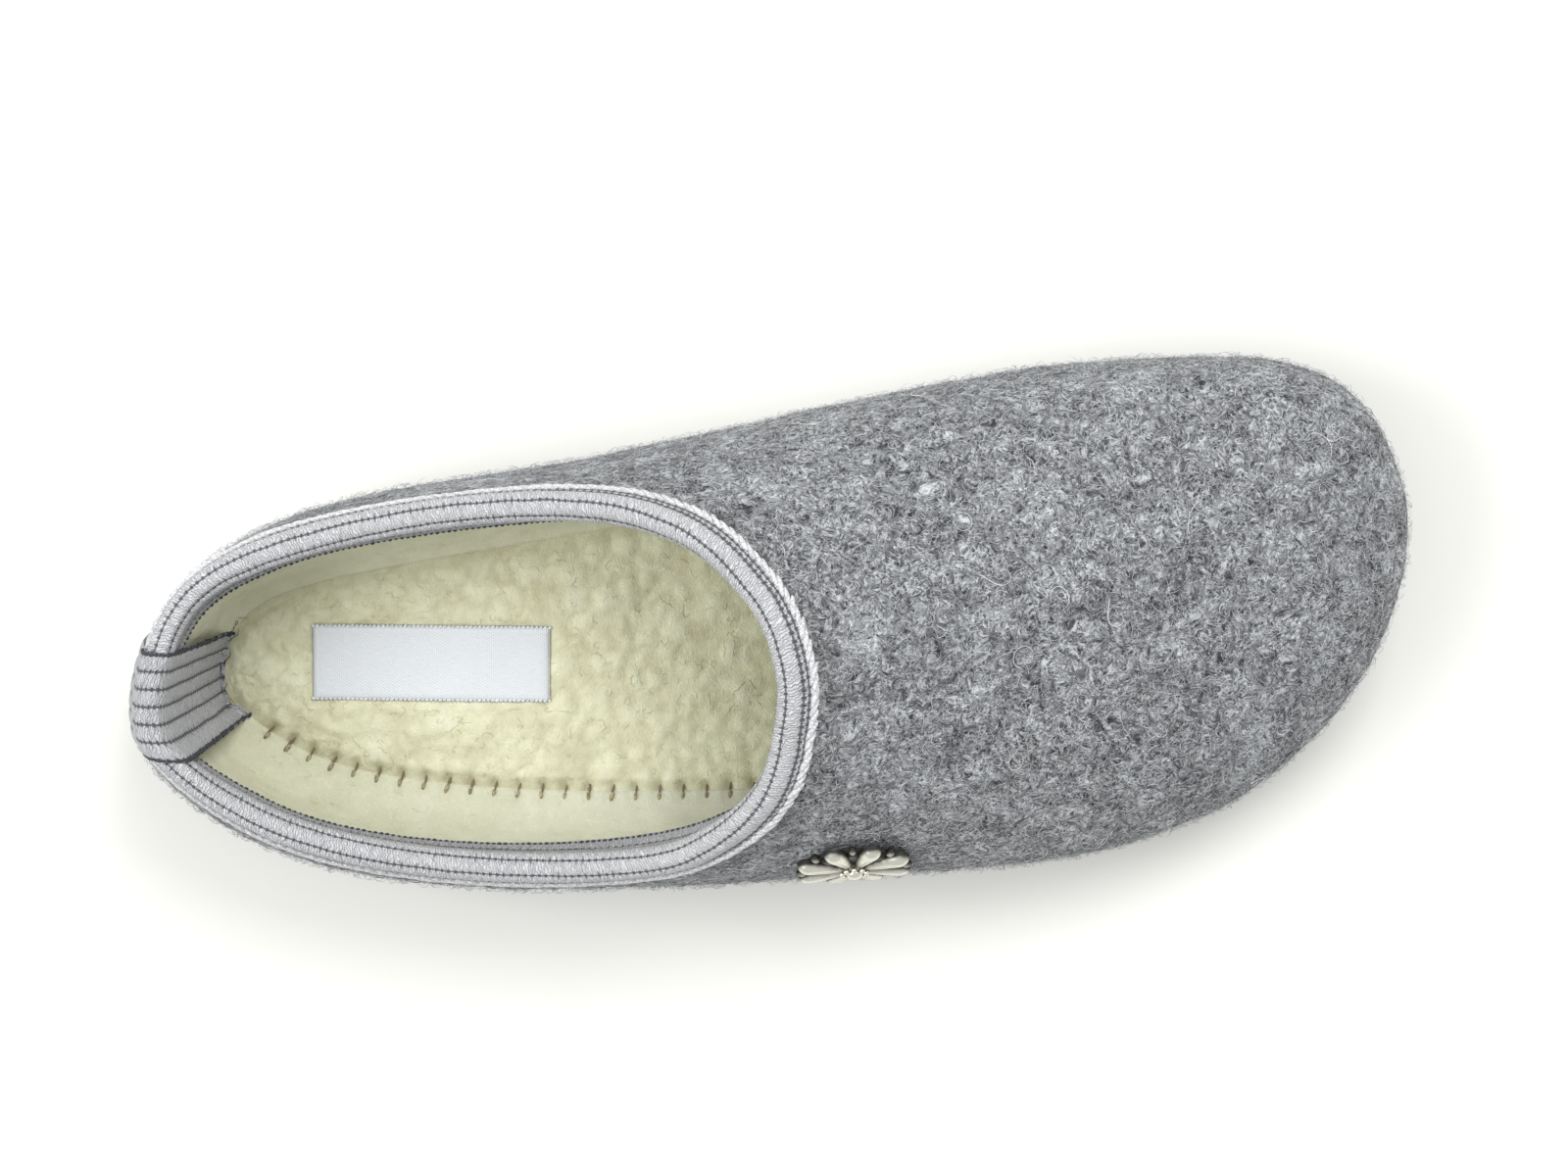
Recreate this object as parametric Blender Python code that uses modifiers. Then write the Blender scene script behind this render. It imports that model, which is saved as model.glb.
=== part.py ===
"""House slipper for the right foot: a felt upper on a rubber sole, with a fleece insole,
a ribbed tape folded over the collar, a heel tape, a woven label and a metal flower.

X runs from heel to toe, Y towards the inner side of the foot and Z up, in metres.
The origin is under the middle of the slipper, on the floor.
"""

import math

import bmesh
import bpy
import numpy as np
from mathutils import Vector

MM = 0.001

# Driving sizes of the last
shoe_length = 264 * MM
ball_width = 100.5 * MM
instep_height = 70.5 * MM      # edge of the felt above the floor, in front of the opening
heel_height = 50.5 * MM        # edge of the felt above the floor, at the back
swell_height = 10 * MM         # widest line of the upper above the top of the sole

# Walls and clearances
felt_thickness = 3.2 * MM
tuck_depth = 5 * MM            # how far the felt draws in under its widest line
felt_foot = 1.6 * MM           # upright edge of the felt on the sole
gap = 0.3 * MM                 # clearance between pieces that meet

# Sole
heel_thickness = 11 * MM
forefoot_thickness = 7.5 * MM
toe_spring = 8 * MM
heel_round = 2.5 * MM          # lift of the sole's back edge
arch_rise = 1.4 * MM
sole_margin = 1.8 * MM         # rubber that shows beyond the foot of the felt
lip_height = 3 * MM
lip_step = 0.8 * MM
sole_chamfer = 2.4 * MM
groove_width = 2.6 * MM
groove_depth = 1.2 * MM
groove_pitch = 8.5 * MM
groove_edge = 9 * MM           # plain border left between the grooves and the edge
groove_start = 13 * MM         # first groove from the end of a flat stretch

# Insole and label
insole_thickness = 5 * MM
insole_bevel = 1.5 * MM
label_length = 49 * MM
label_width = 15.2 * MM
label_thickness = 0.8 * MM
label_turn = math.radians(-7.8)
label_along = 0.234            # share of the length
label_side = 0.112             # share of half the ball width

# Collar tape and heel tape
tape_thickness = 1.1 * MM
tape_outer_depth = 3.6 * MM
tape_inner_depth = 6.5 * MM
tape_inner_flare = 1.6 * MM    # room for the lining under the inner edge
heel_tape_width = 22 * MM
heel_tape_thickness = 1 * MM
heel_tape_ease = 0.2 * MM      # extra room where it bends
heel_tape_turn = math.radians(-10)
heel_tape_end = 2 * MM         # how far its inner end stays above the insole
lining_depth = 9 * MM          # room for the lining at the foot of the heel tape

# Flower badge
badge_diameter = 26 * MM
badge_thickness = 1.5 * MM
badge_petals = 8
badge_height = 2.8 * MM          # from the felt to the top of the boss
badge_boss = 9 * MM            # diameter of the boss
badge_along = 0.543            # share of the length
badge_rise = 0.49              # share of the felt wall, from its widest line to the collar

# Steps of the meshes
steps_around = 78
steps_tuck = 3
steps_wall = 6
steps_measure = 40             # for lengths along a curve
steps_turn = 4                 # points of a strip over the felt's edge
steps_heel_tape = 3            # down the inside below the collar tape
steps_strip = 8                # across the heel tape
steps_badge = 64

# How far round the heel the heel tape's route is worked out, as a share of the whole way
heel_tape_reach = 0.16

# Where the sole leaves the floor, as shares of the length
HEEL_FLAT_START, HEEL_FLAT_END = 0.06, 0.34
BALL_FLAT_START, BALL_FLAT_END = 0.5, 0.77

# One row for each wall section round the slipper, from the middle of the heel along the
# outer side to the toe and back along the inner side.
# out_along, collar_along: shares of the length. out_side, collar_side: shares of half the
# ball width, plus on the inner side. climb: collar height, 0 at heel_height and 1 at
# instep_height. slope: degrees below level at the collar. rise: how much of the height the
# wall climbs upright. reach: how much of the way it keeps the collar's slope. tuck: share
# of tuck_depth.
COLUMNS = ("out_along", "out_side", "collar_along", "collar_side",
           "climb", "slope", "rise", "reach", "tuck")
SECTIONS = (
    (0.004, 0.100, 0.030, 0.170, 0.00, 74, 0.40, 0.25, 0.9),    # heel
    (0.030, -0.275, 0.045, -0.109, -0.01, 72, 0.40, 0.25, 1.0),  # heel, outer side
    (0.121, -0.620, 0.127, -0.460, -0.16, 68, 0.40, 0.27, 1.1),  # seat, outer side
    (0.273, -0.832, 0.268, -0.689, -0.22, 68, 0.40, 0.30, 1.1),  # waist back, outer side
    (0.424, -0.920, 0.386, -0.737, -0.02, 64, 0.38, 0.34, 1.0),  # waist, outer side
    (0.576, -0.980, 0.438, -0.672, 0.25, 48, 0.38, 0.38, 1.0),   # behind ball, outer side
    (0.720, -1.000, 0.474, -0.552, 0.49, 37, 0.50, 0.42, 1.0),   # ball, outer side
    (0.841, -0.860, 0.498, -0.395, 0.73, 28, 0.50, 0.44, 1.0),   # toe shoulder, outer side
    (0.936, -0.510, 0.511, -0.214, 0.89, 25, 0.48, 0.45, 1.0),   # toe corner, outer side
    (0.987, -0.080, 0.518, -0.042, 0.97, 24, 0.47, 0.45, 1.0),   # beside toe tip
    (1.000, 0.290, 0.517, 0.107, 1.00, 24, 0.47, 0.45, 1.0),     # toe tip
    (0.979, 0.677, 0.510, 0.262, 0.95, 26, 0.50, 0.44, 1.0),     # toe corner, inner side
    (0.909, 0.923, 0.493, 0.420, 0.84, 30, 0.54, 0.42, 1.0),     # toe shoulder, inner side
    (0.773, 1.000, 0.468, 0.575, 0.67, 37, 0.56, 0.40, 1.0),     # ball, inner side
    (0.625, 0.983, 0.433, 0.686, 0.42, 48, 0.52, 0.36, 0.9),     # behind ball, inner side
    (0.474, 0.915, 0.380, 0.766, 0.17, 62, 0.46, 0.30, 0.8),     # waist, inner side
    (0.326, 0.864, 0.287, 0.804, -0.04, 74, 0.42, 0.27, 0.6),    # waist back, inner side
    (0.174, 0.818, 0.172, 0.769, -0.09, 78, 0.40, 0.25, 0.5),    # seat, inner side
    (0.056, 0.580, 0.071, 0.584, -0.01, 78, 0.40, 0.25, 0.7),    # heel, inner side
)
TABLE = np.array(SECTIONS, float)


def closed_slopes(values):
    """Slopes of the smooth closed curve through the rows of values."""
    count = len(values)
    matrix = 4 * np.eye(count) + np.roll(np.eye(count), 1, 0) + np.roll(np.eye(count), -1, 0)
    return np.linalg.solve(matrix, 3 * (np.roll(values, -1, 0) - np.roll(values, 1, 0)))


SLOPES = closed_slopes(TABLE)


def section(place):
    """The table's columns at a place round the slipper, counted in rows."""
    count = len(TABLE)
    row = int(math.floor(place))
    t = place - row
    a, b = row % count, (row + 1) % count
    value = ((2 * t**3 - 3 * t**2 + 1) * TABLE[a] + (t**3 - 2 * t**2 + t) * SLOPES[a]
             + (3 * t**2 - 2 * t**3) * TABLE[b] + (t**3 - t**2) * SLOPES[b])
    return dict(zip(COLUMNS, value))


def flat_place(along, side):
    """A point on the floor from shares of the length and of half the ball width."""
    return Vector(((along - 0.5) * shoe_length, side * ball_width / 2, 0))


def share_along(x):
    return x / shoe_length + 0.5


def sole_bottom(x):
    """Height of the sole's underside: flat at heel and ball, lifted at toe, heel and arch."""
    along = share_along(x)
    if along > BALL_FLAT_END:
        return toe_spring * ((along - BALL_FLAT_END) / (1 - BALL_FLAT_END)) ** 1.7
    if along < HEEL_FLAT_START:
        return heel_round * ((HEEL_FLAT_START - along) / HEEL_FLAT_START) ** 2
    if HEEL_FLAT_END < along < BALL_FLAT_START:
        turn = (along - HEEL_FLAT_END) / (BALL_FLAT_START - HEEL_FLAT_END)
        return arch_rise * math.sin(math.pi * turn) ** 2
    return 0.0


def sole_top(x):
    """Height of the surface that the felt and the insole stand on."""
    along = min(max(share_along(x), 0), 1)
    turn = min(max((along - HEEL_FLAT_END) / (BALL_FLAT_END - HEEL_FLAT_END), 0), 1)
    fall = turn * turn * (3 - 2 * turn)
    thickness = heel_thickness + (forefoot_thickness - heel_thickness) * fall
    lift = sole_bottom(x) if along > BALL_FLAT_END else 0.0
    return thickness + lift


def outline(place, inset=0.0):
    """Widest line of the upper in plan, moved inwards by inset."""
    step = 0.02
    row = section(place)
    point = flat_place(row["out_along"], row["out_side"])
    before, after = section(place - step), section(place + step)
    run = (flat_place(after["out_along"], after["out_side"])
           - flat_place(before["out_along"], before["out_side"]))
    inward = Vector((-run.y, run.x, 0)).normalized()
    return point + inward * inset


def foot_of_felt(place, inset=0.0):
    """Line where the outer face of the felt meets the sole, moved inwards by inset."""
    tuck = tuck_depth * section(place)["tuck"]
    return outline(place, tuck + inset)


def widest_point(place):
    point = outline(place)
    point.z = sole_top(point.x) + swell_height
    return point


def collar_point(place):
    """Outer edge of the felt at the collar."""
    row = section(place)
    point = flat_place(row["collar_along"], row["collar_side"])
    point.z = heel_height + (instep_height - heel_height) * row["climb"]
    return point


def upper_wall(place, share):
    """Outer face of the felt above its widest line: share 0 there, 1 at the collar."""
    row = section(place)
    low, high = widest_point(place), collar_point(place)
    across = Vector((low.x - high.x, low.y - high.y, 0))
    drop = math.radians(row["slope"])
    down = across.normalized() * math.cos(drop) - Vector((0, 0, math.sin(drop)))
    upright = low + Vector((0, 0, (high.z - low.z) * row["rise"]))
    leaning = high + down * (row["reach"] * (high - low).length)
    rest = 1 - share
    return (low * rest**3 + upright * (3 * rest**2 * share)
            + leaning * (3 * rest * share**2) + high * share**3)


def lower_wall(place, share):
    """Outer face of the felt below its widest line: share 0 at its upright foot, 1 there."""
    high = widest_point(place)
    bend_z = sole_top(high.x) + gap + felt_foot
    tuck = tuck_depth * section(place)["tuck"]
    point = outline(place, tuck * (1 - share) ** 2)
    point.z = bend_z + (high.z - bend_z) * share
    return point


def felt_face(place, share):
    """Outer face of the felt: share -1 at its foot, 0 at the widest line, 1 at the collar."""
    return upper_wall(place, share) if share >= 0 else lower_wall(place, 1 + share)


def felt_normal(place, share):
    """Outward unit normal of the felt's outer face."""
    step_place, step_share = 0.02, 0.01
    low, high = max(share - step_share, -1), min(share + step_share, 1)
    up = felt_face(place, high) - felt_face(place, low)
    run = felt_face(place + step_place, share) - felt_face(place - step_place, share)
    return run.cross(up).normalized()


def even_places(count):
    """Places round the slipper, the same distance apart along the widest line."""
    rows = len(TABLE)
    fine = [rows * i / (count * 12) for i in range(count * 12 + 1)]
    points = [outline(place) for place in fine]
    lengths = np.cumsum([0] + [(b - a).length for a, b in zip(points, points[1:])])
    return list(np.interp(np.arange(count) / count * lengths[-1], lengths, fine))


PLACES = even_places(steps_around)


def new_object(name, mesh, colour, roughness, metallic=0.0):
    """Adds a mesh to the slipper's collection with its own material."""
    obj = bpy.data.objects.new(name, mesh)
    material = bpy.data.materials.new(name)
    material.use_nodes = True
    shader = material.node_tree.nodes["Principled BSDF"]
    shader.inputs["Base Color"].default_value = (*colour, 1)
    shader.inputs["Roughness"].default_value = roughness
    shader.inputs["Metallic"].default_value = metallic
    mesh.materials.append(material)
    slipper.objects.link(obj)
    mesh.shade_smooth()
    mesh.set_sharp_from_angle(angle=math.radians(40))
    return obj


def grid_mesh(name, rows, closed_rows=True, filled=False):
    """Mesh through rows of points. Each row is a ring, or a line if closed_rows is False.

    Filled rings get a floor and a lid, with faces that run straight across.
    """
    mesh = bpy.data.meshes.new(name)
    build = bmesh.new()
    verts = [[build.verts.new(point) for point in row] for row in rows]
    count = len(verts[0])
    for lower, upper in zip(verts, verts[1:]):
        for i in range(count if closed_rows else count - 1):
            j = (i + 1) % count
            build.faces.new((lower[i], lower[j], upper[j], upper[i]))
    if filled:
        for ring in (list(reversed(verts[0])), verts[-1]):
            for i in range(count // 2):
                across = (ring[i], ring[i + 1], ring[-i - 1], ring[-i])
                build.faces.new(dict.fromkeys(across))
    build.normal_update()
    build.to_mesh(mesh)
    build.free()
    return mesh


def give_wall(obj, thickness, outwards):
    """Turns an open sheet into a solid wall of one thickness."""
    wall = obj.modifiers.new("wall", "SOLIDIFY")
    wall.thickness = thickness
    wall.offset = 1 if outwards else -1
    wall.use_even_offset = True
    wall.use_rim = True


def foot_ring(inset, height_at):
    """Ring of points inside the foot of the felt, at the heights that height_at gives."""
    ring = [foot_of_felt(place, inset) for place in PLACES]
    return [Vector((point.x, point.y, height_at(point.x))) for point in ring]


def make_outsole():
    edge = -sole_margin
    rows = [foot_ring(edge + sole_chamfer + lip_step, sole_bottom),
            foot_ring(edge + lip_step, lambda x: sole_bottom(x) + sole_chamfer)]
    for inset, drop in ((lip_step, lip_height + lip_step), (0, lip_height),
                        (0, lip_step), (lip_step, 0)):
        rows.append(foot_ring(edge + inset, lambda x: sole_top(x) - drop))
    mesh = grid_mesh("outsole", rows, filled=True)
    sole = new_object("outsole", mesh, (0.06, 0.052, 0.046), 0.7)
    cut = sole.modifiers.new("grooves", "BOOLEAN")
    cut.operation = "DIFFERENCE"
    cut.solver = "EXACT"
    cut.object = make_groove_cutter()


def groove_span(x):
    """Lowest and highest Y of a groove at x, inside the plain border."""
    ring = foot_ring(groove_edge - sole_margin, sole_bottom)
    sides = []
    for a, b in zip(ring, ring[1:] + ring[:1]):
        if (a.x - x) * (b.x - x) <= 0 and a.x != b.x:
            sides.append(a.y + (b.y - a.y) * (x - a.x) / (b.x - a.x))
    return min(sides), max(sides)


def make_groove_cutter():
    """One bar for each groove across the heel and the ball of the sole."""
    build = bmesh.new()
    flats = ((HEEL_FLAT_START, HEEL_FLAT_END), (BALL_FLAT_START, BALL_FLAT_END))
    for start, end in flats:
        room = (end - start) * shoe_length - 2 * groove_start
        count = int(room / groove_pitch) + 1
        middle = ((start + end) / 2 - 0.5) * shoe_length
        for i in range(count):
            x = middle + (i - (count - 1) / 2) * groove_pitch
            low, high = groove_span(x)
            bar = bmesh.ops.create_cube(build, size=1)["verts"]
            bmesh.ops.scale(build, verts=bar, vec=(groove_width, high - low, 2 * groove_depth))
            bmesh.ops.translate(build, verts=bar, vec=(x, (low + high) / 2, 0))
    mesh = bpy.data.meshes.new("groove_cutter")
    build.to_mesh(mesh)
    build.free()
    cutter = bpy.data.objects.new("groove_cutter", mesh)
    cutter.hide_render = True
    cutter.display_type = "WIRE"
    cutters.objects.link(cutter)
    return cutter


def insole_top(x):
    return sole_top(x) + gap + insole_thickness


def make_insole():
    edge = felt_thickness + gap
    rows = []
    for inset, height in ((0, 0), (0, insole_thickness - insole_bevel),
                          (insole_bevel, insole_thickness)):
        rows.append(foot_ring(edge + inset, lambda x: sole_top(x) + gap + height))
    mesh = grid_mesh("insole", rows, filled=True)
    new_object("insole", mesh, (0.72, 0.68, 0.48), 0.95)


def collar_run(place):
    """Unit direction of the collar's edge."""
    return (collar_point(place + 0.02) - collar_point(place - 0.02)).normalized()


def share_below_collar(place, depth):
    """Share of the upper wall that lies depth below the collar, measured square to its edge."""
    run = collar_run(place)
    shares = [1 - i / steps_measure for i in range(steps_measure + 1)]
    points = [upper_wall(place, share) for share in shares]
    lengths = np.cumsum([0] + [(b - a).cross(run).length for a, b in zip(points, points[1:])])
    return float(np.interp(depth, lengths, shares))


def felt_shares(place):
    """Shares of the rows of points up the felt, with rows under the collar tape's edges."""
    tape_rows = sorted((tape_outer_depth / 2, tape_outer_depth, tape_inner_depth), reverse=True)
    under_tape = [share_below_collar(place, depth) for depth in tape_rows]
    tuck = [i / steps_tuck - 1 for i in range(steps_tuck)]
    open_wall = [under_tape[0] * i / steps_wall for i in range(steps_wall)]
    return tuck + open_wall + under_tape + [1]


def make_upper():
    rows = []
    foot = []
    for place in PLACES:
        point = lower_wall(place, 0)
        foot.append(Vector((point.x, point.y, sole_top(outline(place).x) + gap)))
    rows.append(foot)
    columns = [[felt_face(place, share) for share in felt_shares(place)] for place in PLACES]
    rows += [list(row) for row in zip(*columns)]
    mesh = grid_mesh("upper", rows)
    give_wall(new_object("upper", mesh, (0.3, 0.31, 0.33), 0.95), felt_thickness, False)


def beside_felt(place, share, offset):
    """Point beside the felt, offset outwards from its outer face."""
    return felt_face(place, share) + felt_normal(place, share) * offset


def over_collar(place, clearance, angle):
    """Point on the round turn over the felt's edge: angle 0 outside, pi inside."""
    outwards = felt_normal(place, 1)
    upwards = outwards.cross(collar_run(place)).normalized()
    middle = collar_point(place) - outwards * felt_thickness / 2
    radius = felt_thickness / 2 + clearance
    return middle + (outwards * math.cos(angle) + upwards * math.sin(angle)) * radius


def folded_strip(place, outside, inside, turn_clearance):
    """Points across a strip folded over the collar, from its outer to its inner edge.

    outside and inside hold pairs of a share of the wall and a clearance to the felt.
    """
    points = [beside_felt(place, share, clearance) for share, clearance in outside]
    for i in range(steps_turn):
        angle = math.pi * i / (steps_turn - 1)
        points.append(over_collar(place, turn_clearance, angle))
    points += [beside_felt(place, share, -felt_thickness - clearance)
               for share, clearance in inside]
    return points


def inner_flare(depth):
    """Clearance of the collar tape's inner flap, which stands off for the lining."""
    return gap + tape_inner_flare * min(depth / tape_inner_depth, 1) ** 1.5


def at_depth(place, depth, clearance):
    return share_below_collar(place, depth), clearance


def collar_tape_points(place):
    outside = [at_depth(place, depth, gap) for depth in (tape_outer_depth, tape_outer_depth / 2)]
    inside = [at_depth(place, depth, inner_flare(depth))
              for depth in (tape_inner_depth / 2, tape_inner_depth)]
    return folded_strip(place, outside, inside, gap)


def make_collar_tape():
    rows = [list(row) for row in zip(*[collar_tape_points(place) for place in PLACES])]
    mesh = grid_mesh("collar_tape", rows)
    give_wall(new_object("collar_tape", mesh, (0.62, 0.64, 0.68), 0.85), tape_thickness, True)


def heel_tape_points(place):
    """Points across the heel tape, from the sole over the collar tape to the insole."""
    corner = 1 / math.cos(math.pi / 2 / (steps_turn - 1))
    over_tape = gap + tape_thickness * corner + gap + heel_tape_ease
    landing = share_below_collar(place, tape_outer_depth + 2 * over_tape)
    outside = [(share, gap + heel_tape_ease) for share in felt_shares(place) if share < landing]
    outside += [at_depth(place, tape_outer_depth + gap, over_tape),
                at_depth(place, tape_outer_depth / 2, over_tape)]

    heel = collar_point(0)
    inner_end = heel.z - insole_top(heel.x) - heel_tape_end
    middle = tape_inner_depth / 2
    leave = inner_flare(tape_inner_depth) + over_tape
    inside = [at_depth(place, middle, inner_flare(middle) + over_tape),
              at_depth(place, tape_inner_depth, leave)]
    for i in range(1, steps_heel_tape + 1):
        share = i / steps_heel_tape
        depth = tape_inner_depth + (inner_end - tape_inner_depth) * share
        inside.append(at_depth(place, depth, leave + (lining_depth - leave) * share))
    return folded_strip(place, outside, inside, over_tape)


def make_heel_tape():
    """Straight strip: each of its lengthwise lines keeps its distance from the middle one."""
    count = len(TABLE)
    reach = count * heel_tape_reach
    near = [place - count for place in PLACES if place > count - reach]
    near += [place for place in PLACES if place < reach]
    columns = [heel_tape_points(place) for place in near]
    outer_side = Vector((math.sin(heel_tape_turn), -math.cos(heel_tape_turn), 0))
    rows = []
    for row in zip(*columns):
        sides = [(point - collar_point(0)).dot(outer_side) for point in row]
        rows.append([point_at(row, sides, heel_tape_width * (i / steps_strip - 0.5))
                     for i in range(steps_strip + 1)])
    mesh = grid_mesh("heel_tape", rows, closed_rows=False)
    give_wall(new_object("heel_tape", mesh, (0.5, 0.52, 0.56), 0.85), heel_tape_thickness, True)


def point_at(points, values, target):
    """Point where the rising values reach the target, straight between two of the points."""
    i = max(j for j in range(len(points) - 1) if j == 0 or values[j] <= target)
    share = (target - values[i]) / (values[i + 1] - values[i])
    return points[i].lerp(points[i + 1], share)


def make_label():
    centre = flat_place(label_along, label_side)
    cos, sin = math.cos(label_turn), math.sin(label_turn)
    steps_long = 8
    rows = []
    for side in (-0.5, 0.5):
        row = []
        for i in range(steps_long + 1):
            along = label_length * (i / steps_long - 0.5)
            across = label_width * side
            x = centre.x + along * cos - across * sin
            y = centre.y + along * sin + across * cos
            row.append(Vector((x, y, insole_top(x) + gap)))
        rows.append(row)
    mesh = grid_mesh("label", rows, closed_rows=False)
    give_wall(new_object("label", mesh, (0.86, 0.87, 0.88), 0.6), label_thickness, True)


def badge_frame():
    """Centre, normal, level and upward directions of the badge on the felt's outer side."""
    rows = len(TABLE)
    target = (badge_along - 0.5) * shoe_length
    low, high = rows * 0.1, rows * 0.45
    for _ in range(30):
        middle = (low + high) / 2
        if upper_wall(middle, badge_rise).x < target:
            low = middle
        else:
            high = middle
    centre = upper_wall(low, badge_rise)
    normal = felt_normal(low, badge_rise)
    level = Vector((0, 0, 1)).cross(normal).normalized()
    upward = normal.cross(level)
    return low, centre, normal, level, upward


def petal_radius(angle):
    """Outline of the flower: blunt petals with notches between, one of them at the top."""
    wave = abs(math.sin(angle * badge_petals / 2))
    return badge_diameter / 2 * (0.52 + 0.48 * wave**0.6)


def badge_seat():
    """How fast the felt falls away above and below the badge, per square of the distance,
    and how far it stands out beyond that bend anywhere behind the badge."""
    place, centre, normal, level, upward = badge_frame()
    around = []
    for i in range(-9, 10):
        for j in range(-9, 10):
            offset = upper_wall(place + i / 9, badge_rise + j / 30) - centre
            if (offset - normal * offset.dot(normal)).length < badge_diameter * 0.55:
                around.append((offset.dot(upward), offset.dot(normal)))
    falls = [-out / rise**2 for rise, out in around if abs(rise) > badge_diameter / 4]
    bend = sum(falls) / len(falls)
    return bend, max(out + bend * rise**2 for rise, out in around)


def make_badge():
    """Cast flower: a petalled plate that follows the felt, with a round boss in its middle."""
    _, centre, normal, level, upward = badge_frame()
    bend, seat = badge_seat()
    angles = [2 * math.pi * i / steps_badge for i in range(steps_badge)]

    def set_out(angle, distance, height):
        across, rise = math.cos(angle) * distance, math.sin(angle) * distance
        out = gap + seat + height - bend * rise * rise
        return centre + level * across + upward * rise + normal * out

    # share of the petals' outline, share of the plate's thickness
    plate = ((0.5, 0), (1, 0), (1, 0.5), (0.75, 1), (0.45, 0.8))
    # share of the boss's radius, share of its height
    boss = ((1, 0), (0.95, 0.45), (0.7, 0.85), (0.35, 1))
    rows = []
    for reach, height in plate:
        rows.append([set_out(a, petal_radius(a) * reach, badge_thickness * height)
                     for a in angles])
    foot = badge_thickness * plate[-1][1]
    for reach, height in boss:
        rise = foot + (badge_height - foot) * height
        rows.append([set_out(a, badge_boss / 2 * reach, rise) for a in angles])
    mesh = grid_mesh("badge", rows, filled=True)
    new_object("badge", mesh, (0.75, 0.73, 0.68), 0.3, 1.0)


for old in list(bpy.data.objects):
    bpy.data.objects.remove(old)
slipper = bpy.data.collections.new("house_slipper")
cutters = bpy.data.collections.new("cutters")
bpy.context.scene.collection.children.link(slipper)
bpy.context.scene.collection.children.link(cutters)

make_outsole()
make_insole()
make_upper()
make_collar_tape()
make_heel_tape()
make_label()
make_badge()
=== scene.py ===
"""Looks of a felt house slipper for the right foot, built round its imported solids.

X runs from heel to toe, Y towards the inner side of the foot and Z up, in metres.
"""

import math

import bmesh
import bpy
import numpy as np
from bpy.props import FloatProperty, FloatVectorProperty, PointerProperty
from mathutils import Matrix, Vector, noise


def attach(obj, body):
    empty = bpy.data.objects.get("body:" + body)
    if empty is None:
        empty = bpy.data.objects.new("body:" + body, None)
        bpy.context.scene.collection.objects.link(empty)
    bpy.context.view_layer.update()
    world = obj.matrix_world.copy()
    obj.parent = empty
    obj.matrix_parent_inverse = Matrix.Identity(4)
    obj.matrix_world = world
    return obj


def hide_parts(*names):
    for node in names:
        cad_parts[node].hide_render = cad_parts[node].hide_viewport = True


bl_info = {
    "name": "Felt House Slipper",
    "version": (1, 0, 0),
    "blender": (4, 5, 0),
    "location": "3D View > Sidebar > Slipper",
    "description": "Builds the felt, fleece, tapes, label, badge and stage of a house slipper",
    "category": "Object",
}

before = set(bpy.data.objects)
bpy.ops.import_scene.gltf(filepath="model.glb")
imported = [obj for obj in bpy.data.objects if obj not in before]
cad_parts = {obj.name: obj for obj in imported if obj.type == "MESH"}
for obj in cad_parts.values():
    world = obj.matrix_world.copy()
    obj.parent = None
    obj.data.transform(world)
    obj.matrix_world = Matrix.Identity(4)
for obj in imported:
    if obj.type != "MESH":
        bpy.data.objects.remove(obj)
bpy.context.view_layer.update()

MM = 0.001
UP = np.array((0.0, 0.0, 1.0))

# The last and the pieces, as in the solids
SHOE_LENGTH = 264 * MM
BALL_WIDTH = 100.5 * MM
INSTEP_HEIGHT = 70.5 * MM
HEEL_HEIGHT = 50.5 * MM
SWELL_HEIGHT = 10 * MM
FELT_THICKNESS = 3.2 * MM
TUCK_DEPTH = 5 * MM
FELT_FOOT = 1.6 * MM
GAP = 0.3 * MM
HEEL_THICKNESS = 11 * MM
FOREFOOT_THICKNESS = 7.5 * MM
TOE_SPRING = 8 * MM
INSOLE_THICKNESS = 5 * MM
TAPE_THICKNESS = 1.1 * MM
TAPE_OUTER_DEPTH = 3.6 * MM
TAPE_INNER_DEPTH = 6.5 * MM
TAPE_INNER_FLARE = 1.6 * MM
HEEL_TAPE_WIDTH = 22 * MM
HEEL_TAPE_THICKNESS = 1 * MM
HEEL_TAPE_EASE = 0.2 * MM
HEEL_TAPE_TURN = math.radians(-10)
HEEL_TAPE_REACH = 3.04
LABEL_LENGTH = 49 * MM
LABEL_WIDTH = 15.2 * MM
LABEL_THICKNESS = 0.8 * MM
LABEL_TURN = math.radians(-7.8)
LABEL_ALONG, LABEL_SIDE = 0.234, 0.112
BADGE_DIAMETER = 26 * MM
BADGE_PETALS = 8
BADGE_ALONG, BADGE_RISE = 0.543, 0.49
HEEL_FLAT_END, BALL_FLAT_END = 0.34, 0.77

# What the solids leave out
LINING_TOP = 5 * MM
OUTER_SIDE_MIDDLE, OUTER_SIDE_REACH = 4.8, 2.2
LINE_OFFSET = 0.7
HEEL_LINE_PITCH = 3.55
STITCH_PITCH = 4.9 * MM
STITCH_START, STITCH_END = -106 * MM, -2 * MM
STITCH_LEAN = -0.16
BADGE_SEAT = 0.4 * MM
BADGE_LIFT = 1 * MM
THREAD_PITCH, DOT_PITCH = 0.55, 1.35

# The photo's view
CAMERA_PLACE = (0.01816, 0.10305, 0.81674)
CAMERA_TILT, CAMERA_LEAN, CAMERA_ROLL = (math.radians(angle) for angle in (6.5, 1.0, 7.2))
CAMERA_LENS, CAMERA_SENSOR = 89.53, 36
FLOOR_HALF = 3.0

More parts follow.
